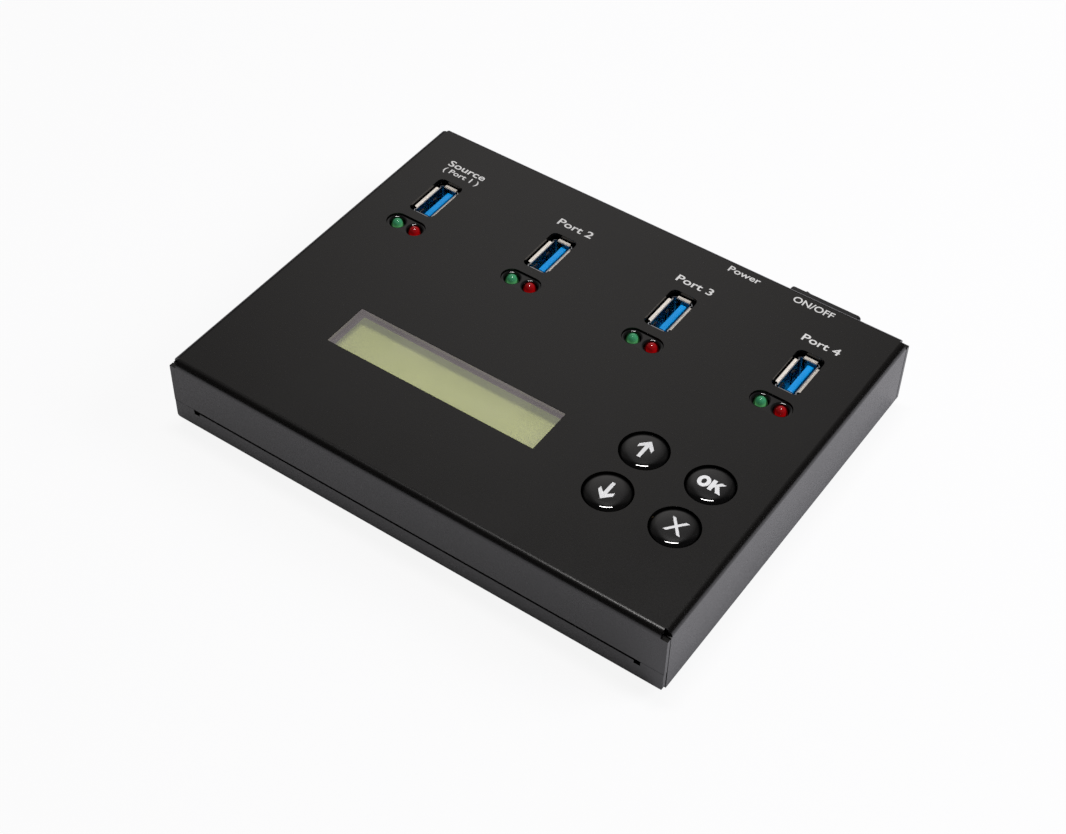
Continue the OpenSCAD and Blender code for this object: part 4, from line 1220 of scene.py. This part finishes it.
class COPIER_OT_studio(Operator):
    """Sets the floor, the lights and the camera"""

    bl_idname = "copier.studio"
    bl_label = "Studio"

    def execute(self, context):
        settings = context.scene.copier_studio
        scene = context.scene
        scene.view_settings.view_transform = "Standard"
        self.floor(settings)
        self.sky(settings)
        self.camera(settings)
        return {"FINISHED"}

    def floor(self, settings):
        """Wide pale floor that keeps the shadow."""
        shape = bmesh.new()
        bmesh.ops.create_circle(shape, cap_ends=True, radius=settings.tent, segments=96)
        floor = self.stand(shape, "floor")
        s = Shader("floor")
        rays = self.rays(s)
        lift = (rays["Camera"] + rays["Transmission"] + rays["Glossy"] * 0.1) * settings.lift
        card = s.node("ShaderNodeBsdfDiffuse", {}, {"Color": settings.floor})
        white = s.node("ShaderNodeEmission", {}, {"Color": (1, 1, 1), "Strength": 1})
        floor.data.materials.append(s.blended(lift, card, white))

    def stand(self, shape, name):
        """Turns a shape into a part of the stage."""
        mesh = bpy.data.meshes.new(name)
        shape.to_mesh(mesh)
        shape.free()
        mesh.shade_smooth()
        made = bpy.data.objects.new(name, mesh)
        bpy.context.scene.collection.objects.link(made)
        return made

    def rays(self, s):
        """One for each kind of ray: from the camera, in mirrors and through glass."""
        return {kind: s.node("ShaderNodeLightPath", {}, {}, f"Is {kind} Ray")
                for kind in ("Camera", "Glossy", "Transmission")}

    def sky(self, settings):
        """White surroundings, a dark tent in front of them, and soft lamps."""
        world = bpy.data.worlds.new("studio")
        bpy.context.scene.world = world
        s = Shader("studio", world)
        seen = s.node("ShaderNodeClamp", {}, {0: sum(self.rays(s).values())})
        tone = s.mix(seen, darker(settings.sky_tint, settings.sky), (1, 1, 1))
        light = s.node("ShaderNodeBackground", {}, {"Color": tone, "Strength": 1})
        s.node("ShaderNodeOutputWorld", {}, {"Surface": light})
        self.tent(settings)
        key_size = settings.key_width, settings.key_depth
        self.lamp("key light", settings.key_place, key_size, settings.key_power, settings.key_tint)
        for name in ("fill", "overhead"):
            spot, side, power = (getattr(settings, f"{name}_{value}") for value in ("place", "size", "power"))
            lamp = self.lamp(f"{name} light", spot, (side, side), power, settings.fill_tint)
            lamp.visible_glossy = False

    def tent(self, settings):
        """Dome of dark cloth with a window at the rear, that the camera doesn't see."""
        shape = bmesh.new()
        bmesh.ops.create_uvsphere(shape, u_segments=64, v_segments=32, radius=settings.tent)
        below = [vert for vert in shape.verts if vert.co.z < -MERGE]
        bmesh.ops.delete(shape, geom=below, context="VERTS")
        tent = self.stand(shape, "tent")
        tent.visible_camera = False
        s = Shader("tent")
        up = s.part(s.position(), 2) / settings.tent
        cloth = s.node("ShaderNodeBsdfDiffuse", {}, {"Color": TENT_CLOTH})
        clear = s.node("ShaderNodeBsdfTransparent", {}, {"Color": TENT_CLEAR})
        rear = s.vectors("DOT_PRODUCT", s.position(), TENT_BACK, 1) / settings.tent
        gap = (1 - s.ramp(up, *TENT_COVER)) * s.ramp(rear, *TENT_REAR)
        tall = s.ramp(up, *WINDOW_TALL)
        wide = s.ramp(rear / (1 - up * up) ** 0.5, *WINDOW_WIDE)
        cover = (1 - gap) * (1 - tall * wide * TENT_WINDOW) * TENT_WEAVE
        tent.data.materials.append(s.blended(cover, clear, cloth))

    def lamp(self, name, place, size, power, tint):
        """Soft lamp that faces the case."""
        lamp = bpy.data.lights.new(name, "AREA")
        lamp.shape = "RECTANGLE"
        lamp.size, lamp.size_y = size
        lamp.energy = power
        lamp.color = tint
        holder = bpy.data.objects.new(name, lamp)
        holder.location = place
        holder.rotation_euler = Vector(place).to_track_quat("Z", "Y").to_matrix().to_euler()
        bpy.context.scene.collection.objects.link(holder)
        return holder

    def camera(self, settings):
        """Camera at the front right, looking down at the case."""
        lens = bpy.data.cameras.new("camera")
        lens.lens = settings.lens
        lens.sensor_width = 36
        lens.clip_start, lens.clip_end = 0.01, 20
        camera = bpy.data.objects.new("camera", lens)
        camera.location = CAMERA_PLACE
        camera.rotation_euler = [math.radians(angle) for angle in CAMERA_TURN]
        bpy.context.scene.collection.objects.link(camera)
        bpy.context.scene.camera = camera


# Finishes


def clear_pane(name, settings):
    """Glossy clear pane with a light haze of scuffs in it."""
    s = Shader(name)
    cloud = s.noise(14 * MM, detail=2)
    scuff = s.noise(1.2 * MM, detail=3)
    cover = settings.haze_cover + (cloud - 0.5) * 0.05
    clear = s.node("ShaderNodeBsdfTransparent", {}, {})
    hazy = s.node("ShaderNodeBsdfPrincipled", {}, {
        "Base Color": s.ramp(cloud, (0.3, darker(settings.haze, 0.94)), (0.7, settings.haze)),
        "Roughness": 0.16 + (scuff - 0.5) * 0.06,
    })
    gloss = s.node("ShaderNodeBsdfGlossy", {}, {"Roughness": 0.12})
    sheen = s.node("ShaderNodeFresnel", {}, {"IOR": 1.35})
    lit = s.node("ShaderNodeMixShader", {}, {0: sheen, 1: clear, 2: gloss})
    return s.blended(cover, lit, hazy)


def pane_side(name):
    """Polished side of the pane, nearly invisible."""
    s = Shader(name)
    clear = s.node("ShaderNodeBsdfTransparent", {}, {})
    frost = s.node("ShaderNodeBsdfDiffuse", {}, {"Color": (0.8, 0.8, 0.8)})
    return s.blended(0.05, clear, frost)


def display_glass(name, settings):
    """Reflective display with a painted faint glow that stands in for light scattered into it, and rows of
    faint character cells.
    """
    s = Shader(name)
    drift = s.noise(18 * MM, detail=1)
    cells = s.node("ShaderNodeTexBrick", {"offset": 0.0}, {
        "Vector": s.position(), "Scale": 1000, "Mortar Size": 0.08, "Mortar Smooth": 0.2,
        "Brick Width": 0.6, "Row Height": 0.7, "Color1": 1.0, "Color2": 1.0, "Mortar": 0.0,
    })
    base = s.ramp(drift, (0.3, darker(settings.glass, 0.93)), (0.7, settings.glass))
    base = s.mix(cells * 0.03, base, (0.1, 0.12, 0.06))
    # The emission is a painted glow, standing in for light scattered into the display
    return s.surface(Base_Color=base, Roughness=0.14 + (drift - 0.5) * 0.04, **GLASS_PAINTED_GLOW)


def key_cap(name, settings):
    """Glossy cap whose level middle is finely grained."""
    s = Shader(name)
    facing = s.part(s.node("ShaderNodeNewGeometry", {}, {}, "Normal"), 2)
    level = s.ramp(facing, (0.970, 0.0), (0.994, 1.0))
    grain = s.noise(0.16 * MM, detail=2)
    base = s.mix(level, settings.cap, darker(settings.cap, 4))
    rough = 0.045 + level * (0.20 + (grain - 0.5) * 0.12)
    bump = s.bump(grain * level, 0.012 * MM, 0.5)
    return s.surface(Base_Color=base, Roughness=rough, Normal=bump, IOR=1.66)


def tinned(name, tone):
    """Satin tin plate, half way between metal and paint."""
    s = Shader(name)
    stain = s.noise(1.6 * MM, detail=3)
    base = s.ramp(stain, (0.25, darker(tone, 0.93)), (0.7, tone))
    bump = s.bump(s.noise(0.15 * MM, detail=2), 0.003 * MM, 0.4)
    return s.surface(Base_Color=base, Metallic=0.1, Roughness=0.34 + (stain - 0.5) * 0.1, Normal=bump)


def lens(name, tone, painted_low_tone, node):
    """Tinted lens with a painted glow, painted lighter low down where a lens would gather light, and slightly
    cloudy.
    """
    s = Shader(name)
    top = node_box(node)[1].z
    depth = (top - s.part(s.position(), 2)) / LENS_PAINTED_LIGHT_REACH
    cloud = s.noise(1.1 * MM, detail=2)
    # Painted light: the lens is painted lighter low down, where a lit lens would gather the light
    painted_low_light = s.ramp(depth + (cloud - 0.5) * 0.3, (0.25, 0.0), (0.95, 1.0))
    base = s.mix(painted_low_light, darker(tone, 0.85), painted_low_tone)
    # Painted glow: the unlit lens is given emission
    painted_glow = s.mix(painted_low_light, darker(tone, 0.5), painted_low_tone)
    return s.surface(Base_Color=base, Roughness=0.09 + (cloud - 0.5) * 0.02, IOR=1.66,
                     Emission_Color=painted_glow, Emission_Strength=LENS_PAINTED_GLOW)


def recipes(scene):
    """How each finish is made: by what, and from which values."""
    ports, lamps = scene.copier_ports, scene.copier_lamps
    return {
        "paint": (powder_coat, scene.copier_case),
        "rubber": (moulded, (0.012, 0.012, 0.012), 0.75, 0.02 * MM),
        "zinc": (plated, (0.68, 0.69, 0.71), 0.34, (1, 1, 3)),
        "nylon": (moulded, (0.62, 0.62, 0.58), 0.42),
        "board": (circuit_board, (0.012, 0.085, 0.035), (0.70, 0.52, 0.24)),
        "chip": (moulded, (0.018, 0.018, 0.019), 0.5),
        "can": (plated, (0.75, 0.76, 0.78), 0.3, (8, 1, 1)),
        "ferrite": (moulded, (0.05, 0.048, 0.046), 0.6),
        "black_plastic": (moulded, (0.012, 0.012, 0.0125), 0.36),
        "switch_black": (moulded, (0.010, 0.010, 0.0105), 0.34),
        "plunger": (moulded, (0.02, 0.02, 0.021), 0.4),
        "lamp_black": (moulded, lamps.holder, 0.08, 0.003 * MM),
        "key_gloss": (key_cap, scene.copier_keys),
        "key_ink": (moulded, scene.copier_keys.ink, 0.45, 0.004 * MM),
        "print_ink": (moulded, scene.copier_print.ink, 0.55, 0.006 * MM),
        "nickel": (plated, ports.nickel, 0.16),
        "tin": (tinned, ports.ivory),
        "gold": (plated, ports.gold, 0.22),
        "blue": (moulded, ports.tongue, 0.3, 0.006 * MM),
        "brass": (plated, (0.72, 0.52, 0.24), 0.3, (1, 8, 1)),
        "lead": (moulded, (0.35, 0.02, 0.015), 0.45),
        "bezel": (moulded, scene.copier_display.frame_black, 0.4),
        "light_guide": (moulded, (0.75, 0.76, 0.72), 0.35),
        "display_glass": (display_glass, scene.copier_display),
        "pane": (clear_pane, scene.copier_display),
        "pane_side": (pane_side,),
        # The second colour of each lens is its painted light low down
        "lens_green": (lens, lamps.green, (0.12, 0.48, 0.16), "lamp_green_1"),
        "lens_red": (lens, lamps.red, (0.55, 0.002, 0.004), "lamp_red_1"),
    }


def finish(name):
    """The material of that name, made once."""
    make, *values = recipes(bpy.context.scene)[name]
    return bpy.data.materials.get(f"copier {name}") or make(name, *values)


# Add-on


class COPIER_PT_panel(Panel):
    """Lists the pieces and their sizes and colours"""

    bl_idname = "COPIER_PT_panel"
    bl_label = "Flash Drive Copier"
    bl_space_type = "VIEW_3D"
    bl_region_type = "UI"
    bl_category = "Copier"

    def draw(self, context):
        layout = self.layout
        for operator in OPERATORS:
            layout.operator(operator.bl_idname)
        for name, group in SETTINGS.items():
            box = layout.box()
            box.label(text=group.__doc__)
            for key in group.__annotations__:
                box.prop(getattr(context.scene, name), key)


SETTINGS = {
    "copier_case": CaseSettings,
    "copier_display": DisplaySettings,
    "copier_keys": KeySettings,
    "copier_ports": PortSettings,
    "copier_lamps": LampSettings,
    "copier_switch": SwitchSettings,
    "copier_print": PrintSettings,
    "copier_studio": StudioSettings,
}
OPERATORS = (
    COPIER_OT_cover,
    COPIER_OT_tray,
    COPIER_OT_fasteners,
    COPIER_OT_boards,
    COPIER_OT_display,
    COPIER_OT_keys,
    COPIER_OT_ports,
    COPIER_OT_lamps,
    COPIER_OT_switch,
    COPIER_OT_inlet,
    COPIER_OT_print,
    COPIER_OT_studio,
)


def register():
    """Registers the settings, operators and panel."""
    for group in (*SETTINGS.values(), *OPERATORS, COPIER_PT_panel):
        bpy.utils.register_class(group)
    for name, group in SETTINGS.items():
        setattr(bpy.types.Scene, name, PointerProperty(type=group))


def unregister():
    """Removes what register added."""
    for name in SETTINGS:
        delattr(bpy.types.Scene, name)
    for group in (COPIER_PT_panel, *reversed(OPERATORS), *reversed(SETTINGS.values())):
        bpy.utils.unregister_class(group)


def main():
    """Builds every piece and the studio."""
    register()
    for operator in OPERATORS:
        group, name = operator.bl_idname.split(".")
        getattr(getattr(bpy.ops, group), name)()


if __name__ == "__main__":
    main()
